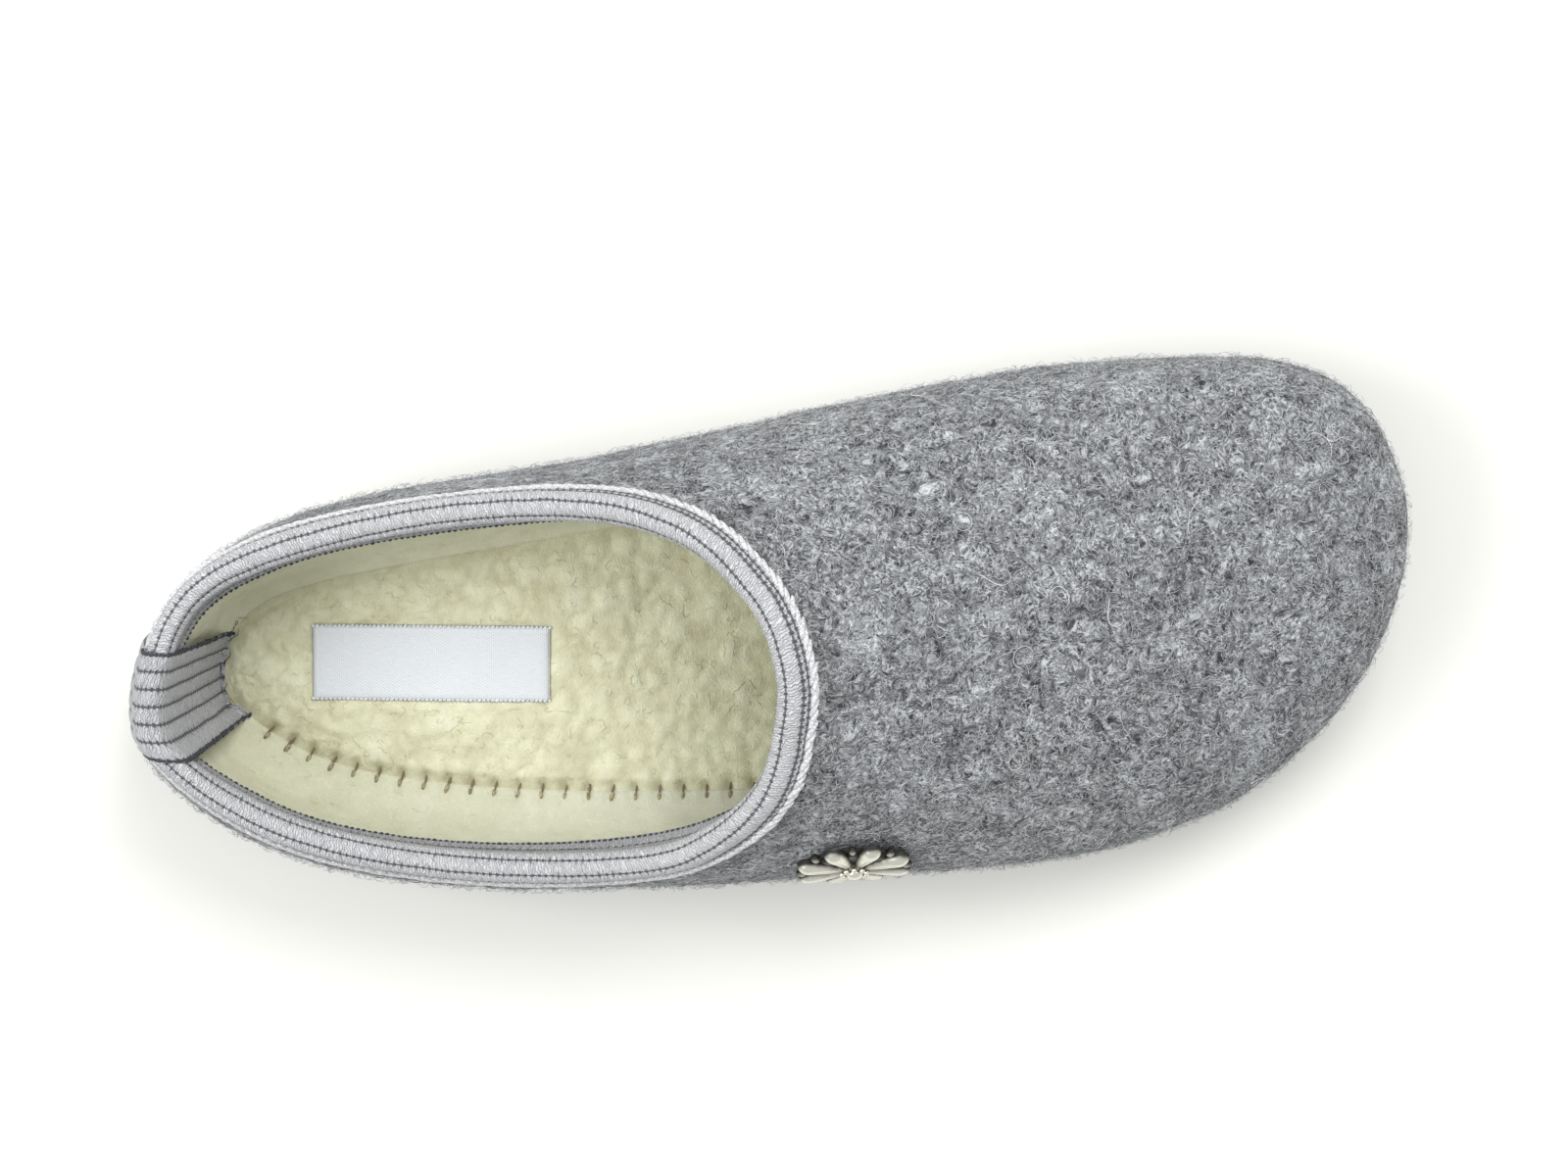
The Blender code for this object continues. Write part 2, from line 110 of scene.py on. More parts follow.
# One row for each wall section round the slipper, from the middle of the heel along the
# outer side to the toe and back along the inner side. out and collar: shares of the length
# and of half the ball width. climb: collar height, 0 at the heel's and 1 at the instep's.
# slope: degrees below level at the collar. rise and reach: shape of the wall between.
# tuck: share of TUCK_DEPTH. seam: millimetres from the widest line to the insole's seam.
(OUT_ALONG, OUT_SIDE, COLLAR_ALONG, COLLAR_SIDE,
 CLIMB, SLOPE, RISE, REACH, TUCK, SEAM) = range(10)
SECTIONS = np.array((
    (0.004, 0.100, 0.030, 0.170, 0.00, 74, 0.40, 0.25, 0.9, 17.6),    # heel
    (0.030, -0.275, 0.045, -0.109, -0.01, 72, 0.40, 0.25, 1.0, 19.2),  # heel, outer side
    (0.121, -0.620, 0.127, -0.460, -0.16, 68, 0.40, 0.27, 1.1, 19.0),  # seat, outer side
    (0.273, -0.832, 0.268, -0.689, -0.22, 68, 0.40, 0.30, 1.1, 18.6),  # waist back, outer
    (0.424, -0.920, 0.386, -0.737, -0.02, 64, 0.38, 0.34, 1.0, 17.6),  # waist, outer side
    (0.576, -0.980, 0.438, -0.672, 0.25, 48, 0.38, 0.38, 1.0, 16.9),   # behind ball, outer
    (0.720, -1.000, 0.474, -0.552, 0.49, 37, 0.50, 0.42, 1.0, 16.6),   # ball, outer side
    (0.841, -0.860, 0.498, -0.395, 0.73, 28, 0.50, 0.44, 1.0, 17.0),   # toe shoulder, outer
    (0.936, -0.510, 0.511, -0.214, 0.89, 25, 0.48, 0.45, 1.0, 17.0),   # toe corner, outer
    (0.987, -0.080, 0.518, -0.042, 0.97, 24, 0.47, 0.45, 1.0, 17.0),   # beside toe tip
    (1.000, 0.290, 0.517, 0.107, 1.00, 24, 0.47, 0.45, 1.0, 17.0),     # toe tip
    (0.979, 0.677, 0.510, 0.262, 0.95, 26, 0.50, 0.44, 1.0, 17.0),     # toe corner, inner
    (0.909, 0.923, 0.493, 0.420, 0.84, 30, 0.54, 0.42, 1.0, 16.5),     # toe shoulder, inner
    (0.773, 1.000, 0.468, 0.575, 0.67, 37, 0.56, 0.40, 1.0, 16.0),     # ball, inner side
    (0.625, 0.983, 0.433, 0.686, 0.42, 48, 0.52, 0.36, 0.9, 15.5),     # behind ball, inner
    (0.474, 0.915, 0.380, 0.766, 0.17, 62, 0.46, 0.30, 0.8, 15.0),     # waist, inner side
    (0.326, 0.864, 0.287, 0.804, -0.04, 74, 0.42, 0.27, 0.6, 14.7),    # waist back, inner
    (0.174, 0.818, 0.172, 0.769, -0.09, 78, 0.40, 0.25, 0.5, 14.6),    # seat, inner side
    (0.056, 0.580, 0.071, 0.584, -0.01, 78, 0.40, 0.25, 0.7, 12.7),    # heel, inner side
))
ROWS = len(SECTIONS)


def closed_slopes(values):
    """Slopes of the smooth closed curve through the rows of values."""
    matrix = 4 * np.eye(ROWS) + np.roll(np.eye(ROWS), 1, 0) + np.roll(np.eye(ROWS), -1, 0)
    return np.linalg.solve(matrix, 3 * (np.roll(values, -1, 0) - np.roll(values, 1, 0)))


SLOPES = closed_slopes(SECTIONS)


def unit(vectors):
    return vectors / np.linalg.norm(vectors, axis=-1, keepdims=True)


def section(place):
    """Columns of the table at places round the slipper, counted in rows."""
    place = np.asarray(place, float)
    row = np.floor(place).astype(int)
    t = (place - row)[..., None]
    a, b = row % ROWS, (row + 1) % ROWS
    return ((2 * t**3 - 3 * t**2 + 1) * SECTIONS[a] + (t**3 - 2 * t**2 + t) * SLOPES[a]
            + (3 * t**2 - 2 * t**3) * SECTIONS[b] + (t**3 - t**2) * SLOPES[b])


def plan(along, side):
    """Points on the floor from shares of the length and of half the ball width."""
    along, side = np.asarray(along, float), np.asarray(side, float)
    return np.stack(((along - 0.5) * SHOE_LENGTH, side * BALL_WIDTH / 2, 0 * along), -1)


def outline(place, inset=0.0):
    """Widest line of the upper in plan, moved inwards by inset."""
    place = np.asarray(place, float)
    here, before, after = section(place), section(place - 0.02), section(place + 0.02)
    run = (plan(after[..., OUT_ALONG], after[..., OUT_SIDE])
           - plan(before[..., OUT_ALONG], before[..., OUT_SIDE]))
    inward = unit(np.stack((-run[..., 1], run[..., 0], 0 * place), -1))
    return (plan(here[..., OUT_ALONG], here[..., OUT_SIDE])
            + inward * np.asarray(inset, float)[..., None])


def sole_top(x):
    """Height of the surface that the felt and the insole stand on."""
    along = np.clip(x / SHOE_LENGTH + 0.5, 0, 1)
    turn = np.clip((along - HEEL_FLAT_END) / (BALL_FLAT_END - HEEL_FLAT_END), 0, 1)
    thickness = HEEL_THICKNESS + (FOREFOOT_THICKNESS - HEEL_THICKNESS) * turn**2 * (3 - 2 * turn)
    spring = np.clip((along - BALL_FLAT_END) / (1 - BALL_FLAT_END), 0, 1)
    return thickness + TOE_SPRING * spring**1.7


def insole_top(x):
    return sole_top(x) + GAP + INSOLE_THICKNESS


def widest(place):
    point = outline(place)
    point[..., 2] = sole_top(point[..., 0]) + SWELL_HEIGHT
    return point


def collar(place):
    """Outer edge of the felt at the collar."""
    here = section(place)
    point = plan(here[..., COLLAR_ALONG], here[..., COLLAR_SIDE])
    point[..., 2] = HEEL_HEIGHT + (INSTEP_HEIGHT - HEEL_HEIGHT) * here[..., CLIMB]
    return point


def collar_run(place):
    return unit(collar(place + 0.02) - collar(place - 0.02))


def upper_wall(place, share):
    """Outer face of the felt above its widest line: share 0 there, 1 at the collar."""
    here, low, high = section(place), widest(place), collar(place)
    span = high - low
    across = -span * (1, 1, 0)
    drop = np.radians(here[..., SLOPE, None])
    down = unit(across) * np.cos(drop) - UP * np.sin(drop)
    upright = low + UP * span[..., 2:] * here[..., RISE, None]
    length = np.linalg.norm(span, axis=-1, keepdims=True)
    leaning = high + down * here[..., REACH, None] * length
    s = np.asarray(share, float)[..., None]
    rest = 1 - s
    return low * rest**3 + upright * 3 * rest**2 * s + leaning * 3 * rest * s**2 + high * s**3


def lower_wall(place, share):
    """Outer face of the felt below its widest line: share 0 at its foot, 1 there."""
    top = widest(place)[..., 2]
    bend = sole_top(outline(place)[..., 0]) + GAP + FELT_FOOT
    point = outline(place, TUCK_DEPTH * section(place)[..., TUCK] * (1 - share) ** 2)
    point[..., 2] = bend + (top - bend) * share
    return point


def felt_face(place, share):
    """Outer face of the felt: share -1 at its foot, 0 at the widest line, 1 at the collar."""
    place, share = np.broadcast_arrays(np.asarray(place, float), np.asarray(share, float))
    above = upper_wall(place, np.clip(share, 0, 1))
    below = lower_wall(place, np.clip(share + 1, 0, 1))
    return np.where((share >= 0)[..., None], above, below)


def felt_normal(place, share):
    """Outward unit normal of the felt's outer face."""
    low, high = np.maximum(share - 0.01, -1), np.minimum(share + 0.01, 1)
    up = felt_face(place, high) - felt_face(place, low)
    run = felt_face(place + 0.02, share) - felt_face(place - 0.02, share)
    return unit(np.cross(run, up))


def beside_felt(place, share, offset):
    """Points beside the felt, offset outwards from its outer face."""
    place, share, offset = np.broadcast_arrays(place, share, offset)
    return felt_face(place, share) + felt_normal(place, share) * offset[..., None]


def even_places(count, line=outline):
    """Places round the slipper, the same distance apart along a line."""
    fine = np.linspace(0, ROWS, count * 8 + 1)
    steps = np.linalg.norm(np.diff(line(fine), axis=0), axis=1)
    lengths = np.concatenate(([0], np.cumsum(steps)))
    return np.interp(np.arange(count) / count * lengths[-1], lengths, fine)


def shares_below_collar(places, depths):
    """Shares of the upper wall at depths below the collar, with a row for each place."""
    run = collar_run(places)[:, None]
    shares = np.linspace(1, 0, 61)
    points = felt_face(places[:, None], shares[None])
    steps = np.linalg.norm(np.cross(np.diff(points, axis=1), run), axis=-1)
    lengths = np.concatenate((np.zeros((len(places), 1)), np.cumsum(steps, 1)), 1)
    return np.array([np.interp(depths, row, shares) for row in lengths])


def over_collar(places, clearance, angles):
    """Points on the round turn over the felt's edge: angle 0 outside, pi inside."""
    outwards = felt_normal(places, np.ones(len(places)))
    upwards = unit(np.cross(outwards, collar_run(places)))
    middle = collar(places) - outwards * FELT_THICKNESS / 2
    cos, sin = np.cos(angles)[None, :, None], np.sin(angles)[None, :, None]
    ring = outwards[:, None] * cos + upwards[:, None] * sin
    return middle[:, None] + ring * (FELT_THICKNESS / 2 + clearance)


def inner_flare(depth):
    """Clearance of the collar tape's inner flap, which stands off for the lining."""
    return GAP + TAPE_INNER_FLARE * np.clip(depth / TAPE_INNER_DEPTH, 0, 1) ** 1.5


def outer_side(places):
    """1 at the middle of the outer side, 0 far from it."""
    return np.exp(-((places - OUTER_SIDE_MIDDLE) / OUTER_SIDE_REACH) ** 2)


def surface_normals(points, closed):
    """Unit normals of a grid of points, which may be closed along its first way."""
    if closed:
        along = np.roll(points, -1, 0) - np.roll(points, 1, 0)
    else:
        along = np.gradient(points, axis=0)
    return unit(np.cross(along, np.gradient(points, axis=1)) + 1e-12)


def run_lengths(points, axis):
    """Distance along a grid of points from its first one, along one of its ways."""
    steps = np.linalg.norm(np.diff(points, axis=axis), axis=-1)
    start = np.zeros_like(np.take(steps, [0], axis))
    return np.concatenate((start, np.cumsum(steps, axis)), axis)


def roughness_at(points, size, seed, depth=1):
    """Smooth noise from about -1 to 1 at each point, with features of that size."""
    flat = points.reshape(-1, 3) / size + np.array((seed, seed * 0.7, -seed * 0.4))
    values = []
    for point in flat:
        here = Vector(point)
        values.append(sum(noise.noise(here * 2**i) / 2**i for i in range(depth)))
    return np.array(values).reshape(points.shape[:-1])


def clumps_at(points, size, seed):
    """0 in the creases between clumps of wool and 1 on their tops, at each point."""
    flat = points.reshape(-1, 3) / size + seed
    values = []
    for point in flat:
        here = Vector(point)
        here += 0.35 * noise.noise_vector(here * 1.7)
        near, next_near = noise.voronoi(here)[0][:2]
        values.append(1 - math.exp(-3.2 * (next_near - near)))
    return np.array(values).reshape(points.shape[:-1])


# Node trees

class Value:
    """A socket that gives a value. Arithmetic on it adds Math nodes to its tree."""

    def __init__(self, tree, socket):
        self.tree = tree
        self.socket = socket

    def math(self, operation, *others):
        return self.tree.math(operation, self, *others)

    def __add__(self, other):
        return self.math("ADD", other)

    def __sub__(self, other):
        return self.math("SUBTRACT", other)

    def __rsub__(self, other):
        return self.tree.math("SUBTRACT", other, self)

    def __mul__(self, other):
        return self.math("MULTIPLY", other)

    def __truediv__(self, other):
        return self.math("DIVIDE", other)

    def __abs__(self):
        return self.math("ABSOLUTE")

    __radd__ = __add__
    __rmul__ = __mul__

    def sine(self):
        return self.math("SINE")

    def most(self, other):
        return self.math("MAXIMUM", other)

    def between(self, low, high):
        """0 at or below low and 1 at or above high, with a smooth change."""
        settings = {"interpolation_type": "SMOOTHSTEP", "clamp": True}
        inputs = {"Value": self, "From Min": low, "From Max": high}
        return self.tree.add("ShaderNodeMapRange", settings, inputs)

    def output(self, name):
        return Value(self.tree, self.socket.node.outputs[name])


class Tree:
    """A node tree, with one method that adds any node."""

    def __init__(self, tree):
        self.tree = tree

    def add(self, kind, settings=None, inputs=None, output=0):
        """Adds a node, makes its settings, then fills or links its sockets."""
        node = self.tree.nodes.new(kind)
        for name, value in (settings or {}).items():
            if name == "stops":
                ramp = node.color_ramp
                for position, _ in value[2:]:
                    ramp.elements.new(position)
                for element, (position, colour) in zip(ramp.elements, value):
                    element.position = position
                    element.color = colour
            else:
                setattr(node, name, value)
        for name, value in (inputs or {}).items():
            if isinstance(value, Value):
                self.tree.links.new(value.socket, node.inputs[name])
            else:
                node.inputs[name].default_value = value
        return Value(self, node.outputs[output]) if len(node.outputs) else None

    def math(self, operation, *values):
        return self.add("ShaderNodeMath", {"operation": operation}, dict(enumerate(values)))

    def vector(self, operation, *values):
        kind = {"operation": operation}
        return self.add("ShaderNodeVectorMath", kind, dict(enumerate(values)))

    def scaled(self, vector, factor):
        settings = {"operation": "SCALE"}
        return self.add("ShaderNodeVectorMath", settings, {"Vector": vector, "Scale": factor})

    def blend(self, factor, first, second):
        """Mixes two colours."""
        settings = {"data_type": "RGBA"}
        return self.add("ShaderNodeMix", settings, {0: factor, 6: first, 7: second}, 2)

    def combined(self, **parts):
        return self.add("ShaderNodeCombineXYZ", None, parts)

    def random(self, kind, low, high, seed):
        """A random value or vector between low and high for each point."""
        first, output = {"FLOAT_VECTOR": (0, 0), "FLOAT": (2, 1), "INT": (4, 2)}[kind]
        inputs = {first: low, first + 1: high, "Seed": seed}
        return self.add("FunctionNodeRandomValue", {"data_type": kind}, inputs, output)


class Finish(Tree):
    """A material's node tree."""

    def __init__(self, name):
        self.material = bpy.data.materials.new(name)
        self.material.use_nodes = True
        self.material.node_tree.nodes.clear()
        super().__init__(self.material.node_tree)

    def place(self):
        return self.add("ShaderNodeTexCoord", output="Object")

    def attribute(self, name):
        return self.add("ShaderNodeAttribute", {"attribute_name": name}, output="Fac")

    def along_cloth(self):
        """The cloth's own coordinates, and the two of them apart in millimetres."""
        uv = self.add("ShaderNodeUVMap", {"uv_map": "metres"})
        split = self.add("ShaderNodeSeparateXYZ", None, {0: uv})
        return uv, split * 1000, split.output("Y") * 1000

    def noise(self, vector, scale, detail=2.0, roughness=0.5, distortion=0.0):
        inputs = {"Vector": vector, "Scale": scale, "Detail": detail,
                  "Roughness": roughness, "Distortion": distortion}
        return self.add("ShaderNodeTexNoise", None, inputs)

    def strands(self, vector, scale, width, distortion=1.5):
        """Thin curling lines: 1 on a line and 0 beside it."""
        field = self.noise(vector, scale, 0.0, 0.5, distortion)
        return 1 - (abs(field - 0.5) / width).between(0.0, 1.0)

    def warp(self, place, scale, reach):
        """Shift of each place by a smooth noise."""
        colour = self.noise(place, scale, 1.0).output("Color")
        return self.scaled(self.vector("SUBTRACT", colour, (0.5, 0.5, 0.5)), reach)

    def bump(self, height, distance, strength=1.0):
        inputs = {"Strength": strength, "Distance": distance, "Height": height}
        return self.add("ShaderNodeBump", None, inputs)

    def surface(self, inputs):
        """Closes the material with a Principled shader and returns the material."""
        shader = self.add("ShaderNodeBsdfPrincipled", None, inputs)
        self.add("ShaderNodeOutputMaterial", None, {"Surface": shader})
        return self.material


def rgba(colour):
    return (*colour, 1.0)


def felt_finish(felt):
    """Grey melange wool felt: pale and dark fibres matted together, with painted shade in small
    pits.
    """
    finish = Finish("wool_felt")
    place = finish.place()
    moved = finish.vector("ADD", place, finish.warp(place, 240, 0.0045))
    moved = finish.vector("ADD", moved, finish.warp(place, 950, 0.0007))
    fibres = None
    for step, (scale, width, stretch) in enumerate((
            (520, 0.050, (1.0, 0.5, 1.0)), (780, 0.070, (0.5, 1.0, 0.8)),
            (1050, 0.085, (1.0, 0.8, 0.5)), (1400, 0.11, (0.7, 0.6, 1.0)),
            (1800, 0.13, (0.6, 1.0, 0.7)))):
        shifted = finish.vector("ADD", moved, (0.31 * step, 0.17 * step, 0.23 * step))
        stretched = finish.vector("MULTIPLY", shifted, stretch)
        broken = finish.noise(shifted, 520, 0.0).between(0.36, 0.6)
        line = finish.strands(stretched, scale, width, 0.6) * broken
        fibres = line if fibres is None else fibres.most(line)
    patches = finish.noise(place, 130, 2.0, 0.55)
    cloud = finish.noise(place, 42, 2.0, 0.5)
    mottle = finish.noise(moved, 560, 2.0, 0.6)
    # Pits sink in the bump and take the darkest wool colour: painted shade in the felt's small
    # hollows
    pits = 1 - finish.noise(moved, 1250, 1.0, 0.5).between(0.32, 0.5)
    tone = (mottle - 0.5) * 2.2 + (patches - 0.5) * 1.2 + (cloud - 0.5) * 0.5 + 0.42
    stops = ((0.0, rgba(felt.dark)), (0.5, rgba(felt.middle)), (1.0, rgba(felt.light)))
    base = finish.add("ShaderNodeValToRGB", {"stops": stops}, {"Fac": tone})
    pitted = finish.blend(pits * 0.9, base, rgba(felt.dark))
    reach = (patches - 0.5) * 0.9 + 0.62
    colour = finish.blend(fibres * reach, pitted, rgba(felt.fibre))
    height = mottle * 0.6 - pits * 0.5 + fibres * 0.7
    return finish.surface({
        "Base Color": colour, "Roughness": 0.95, "Normal": finish.bump(height, 0.0006, 0.8),
        "Specular IOR Level": 0.1, "Sheen Weight": 0.12, "Sheen Roughness": 0.5,
        "Sheen Tint": rgba((0.9, 0.92, 1.0))})


def fibre_finish(name, dark, pale):
    """Single fibres, some darker than others."""
    finish = Finish(name)
    colour = finish.blend(finish.attribute("shade"), rgba(dark), rgba(pale))
    return finish.surface({"Base Color": colour, "Roughness": 0.8,
                           "Specular IOR Level": 0.2})


def fleece_finish(name, fleece):
    """Cream wool fleece with painted shade: browner between its clumps, lighter on their tops;
    fade blends in the walls' colour.
    """
    finish = Finish(name)
    place = finish.place()
    moved = finish.vector("ADD", place, finish.warp(place, 260, 0.003))
    cloud = finish.noise(place, 85, 3.0, 0.55)
    tuft = finish.noise(moved, 330, 3.0, 0.6)
    stretched = finish.vector("MULTIPLY", moved, (1.0, 0.5, 0.8))
    hairs = finish.strands(stretched, 900, 0.12).most(finish.strands(moved, 1500, 0.14))
    # tone: painted shade from the attribute depth, darker in the creases and lighter on the
    # clumps' tops, plus random clouds and tufts
    tone = (finish.attribute("depth") * 0.75 + (cloud - 0.5) * 0.9 + (tuft - 0.5) * 0.55
            + 0.02)
    stops = ((0.0, rgba(fleece.deep)), (0.5, rgba(fleece.middle)), (1.0, rgba(fleece.light)))
    base = finish.add("ShaderNodeValToRGB", {"stops": stops}, {"Fac": tone})
    haired = finish.blend(hairs * 0.16, base, rgba(fleece.light))
    # fade blends in the walls' less yellow colour, which is also darker: painted shade where the
    # key light falls on the outer wall
    colour = finish.blend(finish.attribute("fade"), haired, rgba(fleece.faded))
    height = tuft * 0.8 + hairs * 0.4
    return finish.surface({
        "Base Color": colour, "Roughness": 0.95, "Normal": finish.bump(height, 0.0006, 0.4),
        "Specular IOR Level": 0.1, "Sheen Weight": 0.25, "Sheen Roughness": 0.5,
        "Sheen Tint": rgba((1.0, 0.98, 0.9))})


def tape_finish(name, tape, lines, widths, wear):
    """Ribbed tape: threads across it and dark dotted lines along it, from its UVs."""
    finish = Finish(name)
    uv, u, v = finish.along_cloth()
    sway = finish.noise(uv, 650, 3.0, 0.6) - 0.5
    waver = finish.noise(uv, 180, 1.0) - 0.5
    phase = u / THREAD_PITCH + v * 0.45 + sway * 3.4
    thread = abs((phase * math.pi).sine())
    across = finish.combined(X=phase * 0.8, Y=v * 0.3)
    uneven = finish.noise(across, 1.3, 2.0, 0.7)
    fluff = finish.noise(uv, 2100, 3.0, 0.75)
    tick_row = finish.combined(X=u * 0.72)
    tick_here = finish.noise(tick_row, 1.0, 0.0).between(0.52, 0.6)
    line = None
    for step, (centre, width) in enumerate(zip(lines, widths)):
        beat = (u * (2 * math.pi / DOT_PITCH) + waver * 5.0 + step * 2.0).sine() * 0.5 + 0.5
        away = abs(v + waver * 0.5 - centre)
        solid = 1 - away.between(width * 0.25, width * 0.75)
        dots = (1 - away.between(width * 0.7, width * 1.7)) * beat.between(0.5, 0.85)
        ticks = (1 - away.between(0.5, 1.3)) * tick_here * beat.between(0.78, 0.95)
        mark = (solid * 0.8).most(dots * 0.9).most(ticks * 0.6)
        line = mark if line is None else line.most(mark)
    # wear lowers the whole tape's tone: the heel tape comes out darker overall
    tone = thread * 0.28 + uneven * 0.9 + fluff * 0.85 - 0.42 - wear
    stops = ((0.0, rgba(tape.shadow)), (1.0, rgba(tape.light)))
    base = finish.add("ShaderNodeValToRGB", {"stops": stops}, {"Fac": tone})
    # Painted shade from v 13.6 mm on: the collar tape's inner flap, darker where it folds in
    fold = v.between(13.6, 14.6) * 0.5
    folded = finish.blend(fold, base, rgba(tape.shadow))
    colour = finish.blend(line, folded, rgba(tape.line))
    height = thread * 0.45 + uneven * 0.5 + fluff * 0.5 - line * 0.8
    return finish.surface({
        "Base Color": colour, "Roughness": 0.9, "Normal": finish.bump(height, 0.0007, 1.0),
        "Specular IOR Level": 0.15, "Sheen Weight": 0.1, "Sheen Roughness": 0.5})


def thread_finish(name, colour, dark):
    """Spun thread with a fine twist, and painted shade between its plies in the colour dark."""
    finish = Finish(name)
    place = finish.place()
    twist = finish.noise(finish.vector("MULTIPLY", place, (1.0, 1.0, 1.6)), 2300, 2.0)
    shade = finish.blend(twist.between(0.35, 0.65), rgba(dark), rgba(colour))
    return finish.surface({"Base Color": shade, "Roughness": 0.8,
                           "Normal": finish.bump(twist, 0.0002, 0.7),
                           "Specular IOR Level": 0.25})


def satin_finish(trim):
    """White satin weave with fine slanting floats."""
    finish = Finish("label_satin")
    uv, u, v = finish.along_cloth()
    ribs = (u * (2 * math.pi / 0.42)).sine() * 0.5 + 0.5
    floats = ((u * 2.1 + v * 3.4) * math.pi).sine() * 0.5 + 0.5
    stretch = finish.vector("MULTIPLY", finish.scaled(uv, 1000.0), (0.5, 3.0, 1.0))
    streaks = finish.noise(stretch, 1.0, 2.0)
    border = (abs(v) - LABEL_WIDTH * 500).between(-0.9, -0.5)
    weave = floats * 0.5 + ribs * 0.3 + streaks * 0.5
    hem = 1 - (u + LABEL_LENGTH * 500).between(1.0, 1.4)
    rim = border.most(hem)
    tone = weave * (1 - rim) + rim * (ribs * 0.5 + 0.5)
    shade = tuple(0.8 * part for part in trim.satin)
    colour = finish.blend(tone.between(0.2, 1.1), rgba(shade), rgba(trim.satin))
    return finish.surface({"Base Color": colour, "Roughness": 0.5,
                           "Normal": finish.bump(tone, 0.00012, 0.7),
                           "Sheen Weight": 0.2, "Sheen Roughness": 0.4})


def metal_finish(trim):
    """Antiqued silver: bright on its high places and blackened in its recesses."""
    finish = Finish("antique_silver")
    place = finish.place()
    wear = finish.noise(place, 700, 3.0, 0.6)
    high = (finish.attribute("height") + (wear - 0.5) * 0.35).between(0.25, 0.8)
    colour = finish.blend(high, rgba(trim.tarnish), rgba(trim.metal))
    rough = finish.noise(place, 1500, 2.0).between(0.3, 0.8) * 0.16 + (1 - high) * 0.35 + 0.2
    return finish.surface({"Base Color": colour, "Metallic": high * 0.55 + 0.45,
                           "Roughness": rough, "Normal": finish.bump(wear, 0.0002, 0.35)})


def rubber_finish(sole):
    """Matt rubber with a fine grain and paler scuffs."""
    finish = Finish("sole_rubber")
    place = finish.place()
    grain = finish.noise(place, 1400, 3.0, 0.6)
    cloud = finish.noise(place, 60, 4.0, 0.6)
    speck = finish.noise(place, 480, 2.0, 0.5).between(0.6, 0.72)
    base = finish.blend(cloud.between(0.3, 0.75), rgba(sole.rubber), rgba(sole.scuffed))
    colour = finish.blend(speck * 0.35, base, rgba(sole.speck))
    rough = cloud.between(0.3, 0.7) * 0.12 + 0.66
    return finish.surface({"Base Color": colour, "Roughness": rough,
                           "Normal": finish.bump(grain, 0.0003, 0.6)})


def floor_finish(stage):
    finish = Finish("pale_floor")
    cloud = finish.noise(finish.place(), 3, 3.0)
    shade = tuple(0.985 * part for part in stage.floor)
    colour = finish.blend(cloud, rgba(shade), rgba(stage.floor))
    return finish.surface({"Base Color": colour, "Roughness": 0.6,
                           "Specular IOR Level": 0.2})


# Meshes

def signed_volume(verts, faces):
    a, b, c, d = (verts[faces[:, i]] for i in range(4))
    return (np.einsum("ij,ij->", a, np.cross(b, c)) + np.einsum("ij,ij->", a, np.cross(c, d)))


def shell(name, top, bottom, closed, material, uv=None, values=None):
    """Closed piece between two grids of points, which may be closed along their first way.

    uv holds metres for each point of the top, with one column more at its end if the grid is
    closed. values holds named numbers for each point of the top, and is 0 on the bottom.
    """
    count, steps = top.shape[:2]
    verts = np.concatenate((top.reshape(-1, 3), bottom.reshape(-1, 3)))
    under = count * steps
    runs = count if closed else count - 1
    i, j = np.meshgrid(np.arange(runs), np.arange(steps - 1), indexing="ij")
    i, j = i.ravel(), j.ravel()
    k = (i + 1) % count
    quads = np.stack((i * steps + j, k * steps + j, k * steps + j + 1, i * steps + j + 1), 1)
    corners = np.stack((i, j, i + 1, j, i + 1, j + 1, i, j + 1), 1)
    rim, rim_corners = [], []
    for r in range(runs):
        s = (r + 1) % count
        for edge, back in ((0, False), (steps - 1, True)):
            a, b = r * steps + edge, s * steps + edge
            face = (a, under + a, under + b, b)
            where = (r, edge, r, edge, r + 1, edge, r + 1, edge)
            rim.append(face[::-1] if back else face)
            rim_corners.append(where)
    if not closed:
        for edge, back in ((0, True), (count - 1, False)):
            for t in range(steps - 1):
                a, b = edge * steps + t, edge * steps + t + 1
                face = (a, under + a, under + b, b)
                rim.append(face[::-1] if back else face)
                rim_corners.append((edge, t) * 2 + (edge, t + 1) * 2)
    faces = np.concatenate((quads, quads[:, ::-1] + under, np.array(rim)))
    corners = np.concatenate((corners, corners.reshape(-1, 4, 2)[:, ::-1].reshape(-1, 8),
                              np.array(rim_corners)))
    if signed_volume(verts, faces) < 0:
        faces = faces[:, ::-1]
        corners = corners.reshape(-1, 4, 2)[:, ::-1].reshape(-1, 8)
    mesh = bpy.data.meshes.new(name)
    mesh.from_pydata(verts.tolist(), [], faces.tolist())
    if uv is not None:
        layer = mesh.uv_layers.new(name="metres")
        picked = uv[corners.reshape(-1, 2)[:, 0], corners.reshape(-1, 2)[:, 1]]
        layer.data.foreach_set("uv", picked.astype(np.float32).ravel())
    for key, numbers in (values or {}).items():
        attribute = mesh.attributes.new(key, "FLOAT", "POINT")
        both = np.concatenate((numbers.ravel(), np.zeros(under)))
        attribute.data.foreach_set("value", both.astype(np.float32))
    return new_piece(name, mesh, material)


def new_piece(name, mesh, material):
    """Links a smooth-shaded mesh to the scene as an object."""
    mesh.validate()
    mesh.shade_smooth()
    piece = bpy.data.objects.new(name, mesh)
    if material is not None:
        mesh.materials.clear()
        mesh.materials.append(material)
    bpy.context.scene.collection.objects.link(piece)
    return piece


